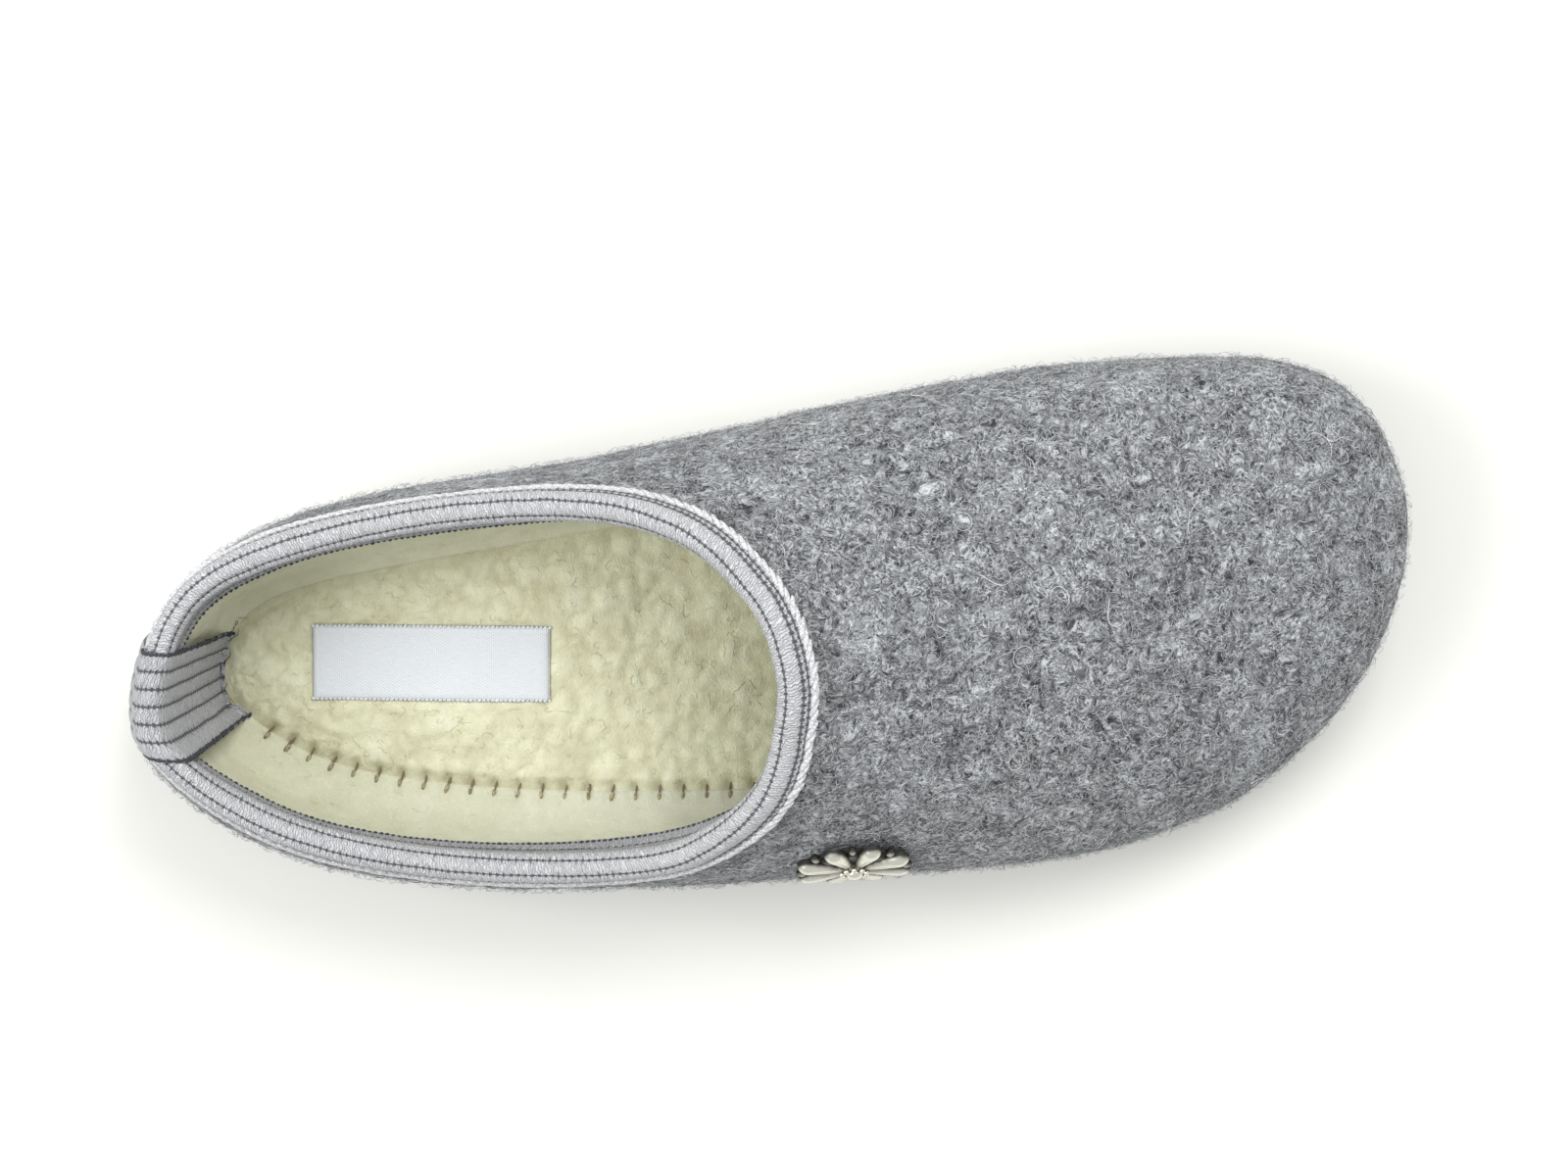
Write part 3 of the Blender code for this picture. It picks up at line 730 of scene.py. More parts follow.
def merge_points(piece, distance=1e-6):
    """Closes the poles and seams where points coincide."""
    build = bmesh.new()
    build.from_mesh(piece.data)
    bmesh.ops.remove_doubles(build, verts=build.verts, dist=distance)
    bmesh.ops.dissolve_degenerate(build, edges=build.edges, dist=distance)
    build.to_mesh(piece.data)
    build.free()
    piece.data.shade_smooth()


def tapered_strand(name, points, radius, sides=3):
    """Closed thin tube along points, pointed at both ends."""
    points = np.asarray(points, float)
    run = unit(np.gradient(points, axis=0))
    side = unit(np.cross(run, (0.3, 0.2, 1.0)))
    over = np.cross(side, run)
    verts = [points[0]]
    for here, a, b in zip(points[1:-1], side[1:-1], over[1:-1]):
        for i in range(sides):
            angle = 2 * math.pi * i / sides
            verts.append(here + (a * math.cos(angle) + b * math.sin(angle)) * radius)
    verts.append(points[-1])
    faces = []
    last = len(verts) - 1
    rings = len(points) - 2
    for i in range(sides):
        j = (i + 1) % sides
        faces.append((0, 1 + j, 1 + i))
        for r in range(rings - 1):
            a = 1 + r * sides
            faces.append((a + i, a + j, a + sides + j, a + sides + i))
        a = 1 + (rings - 1) * sides
        faces.append((a + i, a + j, last))
    mesh = bpy.data.meshes.new(name)
    mesh.from_pydata([tuple(v) for v in verts], [], faces)
    build = bmesh.new()
    build.from_mesh(mesh)
    bmesh.ops.recalc_face_normals(build, faces=build.faces)
    build.to_mesh(mesh)
    build.free()
    return new_piece(name, mesh, None)


def curled_path(rng, length, steps, turn, lift):
    """Points of a fibre that wanders over a surface and lifts off it."""
    heading, point, points = 0.0, np.zeros(3), []
    bend = rng.normal(0, turn)
    for i in range(steps + 1):
        rise = lift * math.sin(math.pi * i / steps)
        points.append(point + (0, 0, rise))
        bend += rng.normal(0, turn * 0.7)
        heading += bend
        point = point + np.array((math.cos(heading), math.sin(heading), 0)) * length / steps
    points = np.array(points)
    points[:, :2] -= points[:, :2].mean(0)
    return points


# What repeats

def group_inputs(tree, sockets):
    """Gives a node group its geometry sockets and named inputs, and returns them by name."""
    tree.interface.new_socket("Geometry", in_out="INPUT", socket_type="NodeSocketGeometry")
    tree.interface.new_socket("Geometry", in_out="OUTPUT", socket_type="NodeSocketGeometry")
    for name, kind in sockets:
        tree.interface.new_socket(name, in_out="INPUT", socket_type="NodeSocket" + kind)
    return Tree(tree)


def close_group(group, instances, material):
    """Ends a node group: real geometry with its material."""
    real = group.add("GeometryNodeRealizeInstances", None, {"Geometry": instances})
    painted = group.add("GeometryNodeSetMaterial", None, {"Geometry": real,
                                                          "Material": material})
    group.add("NodeGroupOutput", None, {0: painted})


def scatter_group():
    """Node group that scatters shapes over a mesh, as dense as its attribute growth says."""
    tree = bpy.data.node_groups.new("scatter_over_surface", "GeometryNodeTree")
    group = group_inputs(tree, (("Shapes", "Collection"), ("Where", "String"),
                                ("Density", "Float"),
                                ("Tilt", "Float"), ("Smallest", "Float"),
                                ("Largest", "Float"), ("Seed", "Int"),
                                ("Material", "Material")))
    given = group.add("NodeGroupInput")
    growth = group.add("GeometryNodeInputNamedAttribute", {"data_type": "FLOAT"},
                       {"Name": given.output("Where")})
    density = growth * given.output("Density")
    points = group.add("GeometryNodeDistributePointsOnFaces",
                       {"distribute_method": "RANDOM"},
                       {"Mesh": given, "Density": density, "Seed": given.output("Seed")})
    shapes = group.add("GeometryNodeCollectionInfo", None,
                       {"Collection": given.output("Shapes"), "Separate Children": True,
                        "Reset Children": True})
    tilt, seed = given.output("Tilt"), given.output("Seed")
    low = group.combined(X=tilt * -1, Y=tilt * -1)
    high = group.combined(X=tilt, Y=tilt, Z=2 * math.pi)
    turn = group.random("FLOAT_VECTOR", low, high, seed + 11)
    spin = group.add("FunctionNodeRotateRotation", {"rotation_space": "LOCAL"},
                     {"Rotation": points.output("Rotation"), "Rotate By": turn})
    scale = group.random("FLOAT", given.output("Smallest"), given.output("Largest"), seed + 12)
    pick = group.random("INT", 0, 30, seed + 13)
    placed = group.add("GeometryNodeInstanceOnPoints", None,
                       {"Points": points, "Instance": shapes, "Pick Instance": True,
                        "Instance Index": pick, "Rotation": spin, "Scale": scale})
    shade = group.random("FLOAT", 0.0, 1.0, seed + 14)
    shaded = group.add("GeometryNodeStoreNamedAttribute",
                       {"data_type": "FLOAT", "domain": "INSTANCE"},
                       {"Geometry": placed, "Name": "shade", "Value": shade})
    close_group(group, shaded, given.output("Material"))
    return tree


def repeat_group():
    """Node group that repeats a shape along a line of points. Its X follows the line and
    its Z the attribute facing."""
    tree = bpy.data.node_groups.new("repeat_along_line", "GeometryNodeTree")
    group = group_inputs(tree, (("Shape", "Object"), ("Count", "Int"), ("Twist", "Float"),
                                ("Unevenness", "Float"), ("Seed", "Int"),
                                ("Material", "Material")))
    given = group.add("NodeGroupInput")
    line = group.add("GeometryNodeMeshToCurve", None, {"Mesh": given})
    even = group.add("GeometryNodeResampleCurve", {"mode": "COUNT"},
                     {"Curve": line, "Count": given.output("Count")})
    facing = group.add("GeometryNodeInputNamedAttribute", {"data_type": "FLOAT_VECTOR"},
                       {"Name": "facing"})
    tangent = group.add("GeometryNodeInputTangent")
    upright = group.add("FunctionNodeAlignRotationToVector", {"axis": "Z"},
                        {"Vector": facing})
    aligned = group.add("FunctionNodeAlignRotationToVector",
                        {"axis": "X", "pivot_axis": "Z"},
                        {"Rotation": upright, "Vector": tangent})
    twist, uneven, seed = (given.output(name) for name in ("Twist", "Unevenness", "Seed"))
    low, high = group.combined(Z=twist * -1), group.combined(Z=twist)
    turn = group.random("FLOAT_VECTOR", low, high, seed)
    spin = group.add("FunctionNodeRotateRotation", {"rotation_space": "LOCAL"},
                     {"Rotation": aligned, "Rotate By": turn})
    scale = group.random("FLOAT", 1 - uneven, 1 + uneven, seed + 1)
    shape = group.add("GeometryNodeObjectInfo", {"transform_space": "ORIGINAL"},
                      {"Object": given.output("Shape"), "As Instance": True}, "Geometry")
    placed = group.add("GeometryNodeInstanceOnPoints", None,
                       {"Points": even, "Instance": shape, "Rotation": spin,
                        "Scale": scale})
    close_group(group, placed, given.output("Material"))
    return tree


def run_group(name, base, maker, inputs):
    """Runs a node group on a mesh object and returns the result as a plain mesh object."""
    tree = bpy.data.node_groups.get(maker.__name__) or maker()
    tree.name = maker.__name__
    modifier = base.modifiers.new("repeat", "NODES")
    modifier.node_group = tree
    sockets = {item.name: item.identifier for item in tree.interface.items_tree
               if item.in_out == "INPUT"}
    for key, value in inputs.items():
        modifier[sockets[key]] = value
    graph = bpy.context.evaluated_depsgraph_get()
    mesh = bpy.data.meshes.new_from_object(base.evaluated_get(graph))
    mesh.name = name
    base.modifiers.remove(modifier)
    return new_piece(name, mesh, None)


def scatter(name, ground, where, shapes, material, density, tilt, sizes, seed):
    """Scatters shapes over a piece, then removes the shapes."""
    folder = bpy.data.collections.new(name + "_shapes")
    bpy.context.scene.collection.children.link(folder)
    for shape in shapes:
        bpy.context.scene.collection.objects.unlink(shape)
        folder.objects.link(shape)
    made = run_group(name, ground, scatter_group, {
        "Shapes": folder, "Where": where, "Density": density, "Tilt": tilt,
        "Smallest": sizes[0], "Largest": sizes[1], "Seed": seed, "Material": material})
    for shape in shapes:
        bpy.data.objects.remove(shape)
    bpy.data.collections.remove(folder)
    return made


def repeat(name, points, facings, closed, shape, material, spacing, twist=0.0,
           unevenness=0.0, seed=1, count=None):
    """Repeats a shape along points, with its Z along the facings, then removes the shape."""
    mesh = bpy.data.meshes.new(name + "_line")
    total = len(points)
    edges = [(i, (i + 1) % total) for i in range(total if closed else total - 1)]
    mesh.from_pydata([tuple(p) for p in points], edges, [])
    attribute = mesh.attributes.new("facing", "FLOAT_VECTOR", "POINT")
    attribute.data.foreach_set("vector", np.asarray(facings, np.float32).ravel())
    line = bpy.data.objects.new(name + "_line", mesh)
    bpy.context.scene.collection.objects.link(line)
    steps = np.linalg.norm(np.roll(points, -1, 0) - points, axis=1)
    length = steps.sum() if closed else steps[:-1].sum()
    if count is None:
        count = int(round(length / spacing)) + (0 if closed else 1)
    made = run_group(name, line, repeat_group, {
        "Shape": shape, "Count": count, "Twist": twist, "Unevenness": unevenness,
        "Seed": seed, "Material": material})
    bpy.data.objects.remove(line)
    bpy.data.objects.remove(shape)
    return made


def on_slipper(piece, slot, *nodes):
    """The piece rides on the slipper and stands for nodes, whose solids it hides. slot is not
    used.
    """
    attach(piece, "root")
    if nodes:
        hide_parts(*nodes)
    return piece


def blob(name, radii, turn=0.0, segments=8, rings=6):
    """Small closed ellipsoid, turned about Z."""
    mesh = bpy.data.meshes.new(name)
    build = bmesh.new()
    bmesh.ops.create_uvsphere(build, u_segments=segments, v_segments=rings, radius=1)
    bmesh.ops.scale(build, verts=build.verts, vec=radii)
    bmesh.ops.rotate(build, verts=build.verts, matrix=Matrix.Rotation(turn, 3, "Z"))
    build.to_mesh(mesh)
    build.free()
    return new_piece(name, mesh, None)


# Pieces

def felt_points(felt):
    """Grids of the felt's outer and inner face, with a soft wobble and a row at the foot down to
    the sole.
    """
    places = even_places(420)
    shares = np.concatenate((np.linspace(-1, -0.02, 9), np.linspace(0, 1, 46)))
    outer = beside_felt(places[:, None], shares[None], 0.0)
    inner = beside_felt(places[:, None], shares[None], -FELT_THICKNESS)
    normals = felt_normal(places[:, None], shares[None])
    fade = np.clip((1 - np.abs(shares)) / 0.15, 0, 1)[None]
    wobble = roughness_at(outer, 0.022, 3.0, 2) * felt.wobble * fade
    outer = outer + normals * wobble[..., None]
    foot = sole_top(outline(places)[:, 0]) + GAP
    faces = []
    for face in (outer, inner):
        low = face[:, :1].copy()
        low[:, 0, 2] = foot
        face[:, 0, 2] = np.maximum(face[:, 0, 2], foot)
        faces.append(np.concatenate((low, face), 1))
    return faces


def strands_of(name, rng, count, length, steps, turn, lift, radius):
    """Shapes of single fibres, all different."""
    return [tapered_strand(f"{name}{i}", curled_path(rng, length, steps, turn, lift), radius)
            for i in range(count)]


def make_felt(felt):
    outer, inner = felt_points(felt)
    growth = np.ones(outer.shape[:2])
    growth[:, :2] = 0.0
    growth[:, -2:] = 0.0
    fuzz = growth * 0.14
    fuzz[:, 5:24] = 1.0
    piece = shell("felt_upper", outer, inner, True, felt_finish(felt),
                  values={"growth": growth, "fuzz": fuzz})
    rng = np.random.default_rng(7)
    matted = fibre_finish("felt_fibre", felt.middle, felt.fibre)
    loose = fibre_finish("fuzz_fibre", felt.light, felt.fibre)
    stray = fibre_finish("stray_hair", felt.fibre, (0.85, 0.85, 0.83))
    length, radius = felt.fibre_length, felt.fibre_radius
    fibres = scatter("felt_fibres", piece, "growth",
                     strands_of("fibre", rng, 14, length, 5, 0.42, 0.3 * MM, radius),
                     matted, felt.fibre_density, 0.1, (0.5, 1.2), 5)
    halo = scatter("felt_fuzz", piece, "fuzz",
                   strands_of("loose", rng, 12, 3.4 * MM, 4, 0.6, 0.9 * MM, radius * 0.8),
                   loose, felt.fuzz_density, 0.9, (0.5, 1.2), 8)
    hairs = scatter("stray_hairs", piece, "growth",
                    strands_of("hair", rng, 9, 11 * MM, 16, 0.17, 0.4 * MM, radius * 1.25),
                    stray, 2200.0, 0.02, (0.4, 1.1), 21)
    on_slipper(piece, "upper", "upper")
    for extra in (fibres, halo, hairs):
        on_slipper(extra, "upper")


def tape_rows(places, outer_start, clearance, flare):
    """Points across a strip that is folded over the collar, at a clearance to the felt."""
    outside = np.linspace(outer_start, 0.0, 9)[:-1]
    inside = np.linspace(0.0, TAPE_INNER_DEPTH + 0.4 * MM, 13)[1:]
    out = beside_felt(places[:, None], shares_below_collar(places, outside), clearance)
    over = over_collar(places, clearance, np.linspace(0, math.pi, 19))
    offsets = FELT_THICKNESS + clearance + np.atleast_2d(flare(inside))
    into = beside_felt(places[:, None], shares_below_collar(places, inside), -offsets)
    return np.concatenate((out, over, into), 1)


def line_dips(v, lines, depth, width):
    """Height of ribbed tape: a dip at each line, rounded ribs between them."""
    away = np.min([np.abs(v - line) for line in lines], axis=0)
    return -depth * np.exp(-(away / width) ** 2)


def make_collar_tape(tape):
    places = even_places(760, collar)
    sideways = outer_side(places)

    def flare(depth):
        droop = (0.6 + 2.2 * sideways[:, None]) * MM * (depth / TAPE_INNER_DEPTH) ** 1.5
        return inner_flare(depth) - GAP + droop

    rows = tape_rows(places, TAPE_OUTER_DEPTH, GAP + TAPE_THICKNESS, flare)
    under = tape_rows(places, TAPE_OUTER_DEPTH, GAP + 0.15 * MM, flare)
    width = run_lengths(rows, 1)
    v = width + (LINE_OFFSET + 0.8 * sideways[:, None]) * MM
    closed_rows = np.concatenate((rows, rows[:1]))
    middle = rows.shape[1] // 2
    u = run_lengths(closed_rows[:, middle:middle + 1], 0)
    uv = np.stack((np.broadcast_to(u, closed_rows.shape[:2]),
                   np.concatenate((v, v[:1]))), -1)
    normals = surface_normals(rows, True)
    outwards = felt_normal(places[:, None], np.full((1, 1), 0.97))
    normals *= np.sign((normals[:, :1] * outwards).sum(-1, keepdims=True))
    lines = tuple(line * MM for line in tape.lines)
    relief = line_dips(v, lines, tape.rib_depth, 0.55 * MM)
    ends = np.minimum(width, width[:, -1:] - width)
    edge = np.clip(ends / (0.8 * MM), 0, 1)
    relief -= (1 - edge) ** 2 * 0.55 * MM
    relief += roughness_at(rows, 2.2 * MM, 2.0) * 0.07 * MM
    near_heel = np.exp(-(np.minimum(places, ROWS - places) / HEEL_TAPE_REACH / 0.45) ** 8)
    relief[:, middle:] -= 0.75 * MM * near_heel[:, None]
    top = rows + normals * relief[..., None]
    finish = tape_finish("collar_ribbing", tape, tape.lines, (0.3, 0.42, 0.3, 0.26, 0.34), 0.0)
    piece = shell("collar_tape_cloth", top, under, True, finish, uv)

    pale = thread_finish("cord_thread", tape.cord, tuple(0.6 * part for part in tape.cord))
    dark = thread_finish("dark_thread", tape.thread, tape.line)
    strand = blob("cord_strand", (2.3 * MM, 0.58 * MM, 0.62 * MM), math.radians(-19), 10, 6)
    cord = repeat("collar_cord", rows[:, 0] - normals[:, 0] * 0.2 * MM, normals[:, 0],
                  True, strand, pale, 2.3 * MM, 0.1, 0.12)
    knot = blob("overlock_knot", (0.42 * MM, 0.34 * MM, 0.34 * MM), 0.5, 8, 6)
    stitched = repeat("collar_overlock", top[:, -3], normals[:, -3], True, knot, dark,
                      1.2 * MM, 0.5, 0.2)
    on_slipper(piece, "collar_tape", "collar_tape")
    cut = float(width[:, -1].mean()), float(run_lengths(closed_rows, 0)[-1].mean())
    on_slipper(cord, "collar_tape")
    on_slipper(stitched, "collar_tape")


def heel_rows(thickness, stations):
    """Grid of points of the heel tape: its first way runs across it, its second from the
    sole over the collar tape and down the lining to the insole's seam."""
    over_tape = GAP + TAPE_THICKNESS + HEEL_TAPE_EASE
    near = np.linspace(-HEEL_TAPE_REACH, HEEL_TAPE_REACH, 161)
    landing_depth = TAPE_OUTER_DEPTH + 2 * over_tape
    landing = shares_below_collar(near, [landing_depth])
    low = -1 + (landing + 1) * np.linspace(0, 1, 26)[None]
    flat = beside_felt(near[:, None], low, GAP + HEEL_TAPE_EASE + thickness)
    depths = np.linspace(landing_depth, 0, 12)[1:-1]
    ramp = np.clip((landing_depth - depths) / (2 * over_tape - GAP), 0, 1)
    ramp = ramp * ramp * (3 - 2 * ramp)
    clear = GAP + HEEL_TAPE_EASE + (over_tape - GAP - HEEL_TAPE_EASE) * ramp + thickness
    climb = beside_felt(near[:, None], shares_below_collar(near, depths), clear[None])
    turn = over_collar(near, over_tape + thickness, np.linspace(0, 0.64 * math.pi, 13))
    top, seam = turn[:, -1], seam_points(near) + UP * (0.5 * MM + thickness)
    outward = outline(near) - seam
    outward[:, 2] = 0
    outward = unit(outward)
    t = np.linspace(0, 1, 30)[None, 1:, None]
    sag = 4 * t * (1 - t) * 0.3 * MM
    wall = top[:, None] * (1 - t) + seam[:, None] * t + outward[:, None] * sag
    end = seam[:, None] - outward[:, None] * np.array((0.5, 1.0))[None, :, None] * MM
    columns = np.concatenate((flat, climb, turn, wall, end), 1)
    for _ in range(6):
        columns[:, 44:57] += (columns[:, 43:56] - 2 * columns[:, 44:57] + columns[:, 45:58]) / 4
    total = columns.shape[1]
    downward = np.clip((np.arange(total) - 26 - 10 - 7) / (total - 44), 0, 1)
    heel = collar(np.zeros(1))[0]
    grid = np.empty((len(stations), total, 3))
    for m, share in enumerate(downward):
        angle = HEEL_TAPE_TURN * (1 - share)
        outer_side = np.array((math.sin(angle), -math.cos(angle), 0))
        wanted = stations * (1 - 0.19 * share) + 0.3 * MM * share
        sides = (columns[:, m] - heel) @ outer_side
        for k in range(3):
            grid[:, m, k] = np.interp(wanted, sides, columns[:, m, k])
    return grid


def make_heel_tape(tape):
    stations = HEEL_TAPE_WIDTH * np.linspace(-0.5, 0.5, 57)
    rows = heel_rows(0.8 * HEEL_TAPE_THICKNESS, stations)
    under = heel_rows(0.1 * MM, stations)
    count, steps = rows.shape[:2]
    u = run_lengths(rows[count // 2:count // 2 + 1], 1)
    uv = np.stack((np.broadcast_to(u, (count, steps)),
                   np.broadcast_to(stations[:, None], (count, steps))), -1)
    normals = surface_normals(rows, False)
    normals *= np.sign((normals * (rows - under)).sum(-1, keepdims=True))
    lines = [i * HEEL_LINE_PITCH for i in range(-3, 4)]
    relief = line_dips(uv[..., 1], [line * MM for line in lines], 0.28 * MM, 0.6 * MM)
    edge = np.clip((HEEL_TAPE_WIDTH / 2 - np.abs(uv[..., 1])) / (0.7 * MM), 0, 1)
    relief -= (1 - edge) ** 2 * 0.4 * MM
    relief += roughness_at(rows, 2.5 * MM, 6.0) * 0.08 * MM
    top = rows + normals * relief[..., None]
    finish = tape_finish("heel_ribbing", tape, lines, [0.34] * 7, 0.17)
    piece = shell("heel_tape_cloth", top, under, False, finish, uv)
    on_slipper(piece, "heel_tape", "heel_tape")
    dark = bpy.data.materials["dark_thread"]
    for name, row in (("heel_overlock_outer", count - 2), ("heel_overlock_inner", 1)):
        knot = blob(name + "_knot", (0.6 * MM, 0.4 * MM, 0.32 * MM), 0.7, 8, 6)
        stitched = repeat(name, top[row, 30:], normals[row, 30:], False, knot, dark,
                          0.9 * MM, 0.8, 0.35)
        on_slipper(stitched, "heel_tape")
    rng = np.random.default_rng(12)
    ends = []
    for k in range(3):
        path = [(0, 0, 0), (1.2 * MM, 0.2 * MM, 0.3 * MM), (2.4 * MM, rng.normal(0, 0.5) * MM,
                0.2 * MM), (3.6 * MM, rng.normal(0, 0.8) * MM, 0.1 * MM)]
        fray = tapered_strand(f"fray{k}", path, 0.09 * MM)
        colour = thread_finish(f"frayed_{k}", tape.frayed, tape.line) if k else dark
        ends.append(repeat(f"heel_fray_{k}", top[::-1, -2], normals[::-1, -2], False, fray,
                           colour, (2.6 + k) * MM, 0.6, 0.4, 40 + k))
    for end in ends:
        on_slipper(end, "heel_tape")


def seam_points(places):
    """Where the insole is sewn to the lining."""
    points = outline(places, section(places)[..., SEAM] * MM)
    points[..., 2] = insole_top(points[..., 0])
    return points


def lining_curve(places, top, steps):
    """Curves down the lined wall, from the points top to the insole's seam."""
    here = np.ones((len(places), 1))
    start = shares_below_collar(places, [LINING_TOP])
    knee = beside_felt(places[:, None], start * 0.42, -(FELT_THICKNESS + 5 * MM) * here)
    seam = seam_points(places)
    outward = outline(places) - seam
    outward[:, 2] = 0
    span = np.linalg.norm(outward, axis=1, keepdims=True)
    corner = seam + outward / span * (span - 9 * MM) + UP * (1.5 * MM)
    seam = seam - outward / span * 0.8 * MM + UP * (0.05 * MM)
    t = np.linspace(0, 1, steps)[None, :, None]
    rest = 1 - t
    return (top[:, None] * rest**3 + knee * 3 * rest**2 * t
            + corner[:, None] * 3 * rest * t**2 + seam[:, None] * t**3)


def stitch_dents(points, stitches, way, length, width):
    """How deep each point lies in the dent of a stitch, from 0 to 1."""
    dent = np.zeros(points.shape[:-1])
    for spot, across in zip(stitches, way):
        away = points - spot
        beside = away[..., 0] * across[1] - away[..., 1] * across[0]
        along = away[..., 0] * across[0] + away[..., 1] * across[1]
        dent = np.maximum(dent, np.exp(-(beside / width) ** 2 - (along / length) ** 4))
    return dent


def seam_stitches():
    """Places of the stitches that show at the outer side of the insole's seam."""
    fine = np.linspace(0.9, 8.5, 1500)
    line = seam_points(fine)
    run = np.concatenate(([0], np.cumsum(np.linalg.norm(np.diff(line, axis=0), axis=1))))
    start, end = np.interp((STITCH_START, STITCH_END), line[:, 0], run)
    return np.interp(np.arange(start, end, STITCH_PITCH), run, fine)


def make_lining(fleece):
    """Fleece on the inside of the walls, from under the collar tape to the insole's seam."""
    places = even_places(420)
    start = shares_below_collar(places, [LINING_TOP])
    stand = FELT_THICKNESS + (1.0 + 1.6 * outer_side(places)[:, None]) * MM
    top = beside_felt(places[:, None], start, -stand)[:, 0]
    face = lining_curve(places, top, 34)
    normals = surface_normals(face, True)
    inwards = np.array((0.0, 0.0, 0.03)) - face
    normals *= np.sign((normals * inwards).sum(-1, keepdims=True).sum(1, keepdims=True))
    clumps = clumps_at(face, fleece.clump_size * 1.5, 4.0)
    fade = np.sin(np.pi * np.linspace(0.02, 0.97, face.shape[1]))[None] ** 0.5
    puff = (clumps * 0.45 * fleece.clump_height
            + roughness_at(face, 9 * MM, 5.0, 3) * 0.6 * MM
            + roughness_at(face, 2.8 * MM, 6.0, 2) * 0.2 * MM) * fade
    spots, across = stitch_ways()
    dents = stitch_dents(face, spots, across, 1.9 * MM, 0.9 * MM)
    front = face + normals * puff[..., None] - UP * 0.7 * MM * dents[..., None]
    back = face - normals * 1.4 * MM
    # depth: painted shade, darker in the creases between clumps and in the stitch dents
    depth = np.clip(clumps * 0.25 + 0.72 - dents * 0.5, 0, 1)
    growth = np.ones(face.shape[:2])
    # Share of the walls' colour, larger on the outer side: the walls' own tint plus painted
    # shade where the key light falls brightest
    faded = 0.2 + 0.55 * outer_side(places)[:, None]
    finish = fleece_finish("lining_fleece", fleece)
    piece = shell("wall_lining", front, back, True, finish,
                  values={"depth": depth, "growth": growth, "fade": growth * faded})
    on_slipper(piece, "insole")
    return piece


def stitch_ways():
    """Spots of the seam's stitches and the flat unit directions across the seam there."""
    places = seam_stitches()
    spots = seam_points(places)
    across = outline(places) - spots
    across[:, 2] = 0
    return spots, unit(across)


def insole_grid(count, across):
    """Points of the insole's top, on straight lines from its outer to its inner seam."""
    places = even_places(2 * (count - 1))
    ring = seam_points(places)
    outer = ring[:count]
    inner = np.concatenate((ring[:1], ring[:count - 2:-1]))
    t = (0.5 - 0.5 * np.cos(np.linspace(0, np.pi, across)))[None, :, None]
    t = 0.35 * t + 0.65 * np.linspace(0, 1, across)[None, :, None]
    return outer[:, None] * (1 - t) + inner[:, None] * t, ring


def make_insole(fleece):
    top, ring = insole_grid(360, 70)
    flat = top.reshape(-1, 3)
    near = np.full(len(flat), 1.0)
    for point in ring[::2]:
        near = np.minimum(near, np.hypot(flat[:, 0] - point[0], flat[:, 1] - point[1]))
    near = near.reshape(top.shape[:2])
    edge = np.clip(near / (4 * MM), 0, 1)
    crown = edge * edge * (3 - 2 * edge)
    clumps = clumps_at(top, fleece.clump_size, 9.0)
    small = roughness_at(top, 2.6 * MM, 1.0, 2)
    swell = roughness_at(top, 16 * MM, 12.0, 2)
    cos, sin = math.cos(LABEL_TURN), math.sin(LABEL_TURN)
    centre = plan(LABEL_ALONG, LABEL_SIDE)
    dx, dy = top[..., 0] - centre[0], top[..., 1] - centre[1]
    along, side = dx * cos + dy * sin, dy * cos - dx * sin
    beyond = np.maximum(np.abs(along) - LABEL_LENGTH / 2, np.abs(side) - LABEL_WIDTH / 2)
    clear = np.clip((beyond + 0.6 * MM) / (2.2 * MM), 0, 1)
    spots, across = stitch_ways()
    dents = stitch_dents(top, spots - across * 0.8 * MM, across, 2.2 * MM, 0.9 * MM)
    puff = (clumps * fleece.clump_height + small * 0.3 * MM + swell * 0.9 * MM + 0.7 * MM)
    puff = np.maximum(puff, 0.1 * MM) * crown * clear * (1 - dents * 0.9)
    base = top - UP * (0.35 * MM * (1 - crown) + 0.6 * MM * dents)[..., None]
    upper = base + UP * puff[..., None]
    lower = base - UP * (1.6 * MM * crown)[..., None]
    # depth: painted shade, darker in the creases between clumps, near the seam and in the stitch
    # dents
    depth = np.clip(clumps * 0.55 + 0.35 + 0.1 * edge - dents * 0.7, 0, 1)
    finish = fleece_finish("insole_fleece", fleece)
    piece = shell("fleece_insole", upper, lower, False, finish,
                  values={"depth": depth, "growth": crown * clear})
    merge_points(piece)
    on_slipper(piece, "insole", "insole")
    return piece


def make_pile(fleece, insole, lining):
    """Curly ends of the wool that stand on the fleece."""
    rng = np.random.default_rng(3)
    material = fibre_finish("fleece_fibre", fleece.middle, fleece.light)
    radius = fleece.pile_radius
    pile = scatter("insole_pile", insole, "growth",
                   strands_of("curl", rng, 12, 3.0 * MM, 5, 0.75, 0.1 * MM, radius), material,
                   fleece.pile_density, 0.06, (0.6, 1.3), 31)
    wall = scatter("lining_pile", lining, "growth",
                   strands_of("wisp", rng, 9, 2.2 * MM, 4, 0.6, 0.25 * MM, radius * 0.7),
                   material, fleece.pile_density * 0.25, 0.2, (0.6, 1.2), 37)
    on_slipper(pile, "insole")
    on_slipper(wall, "insole")


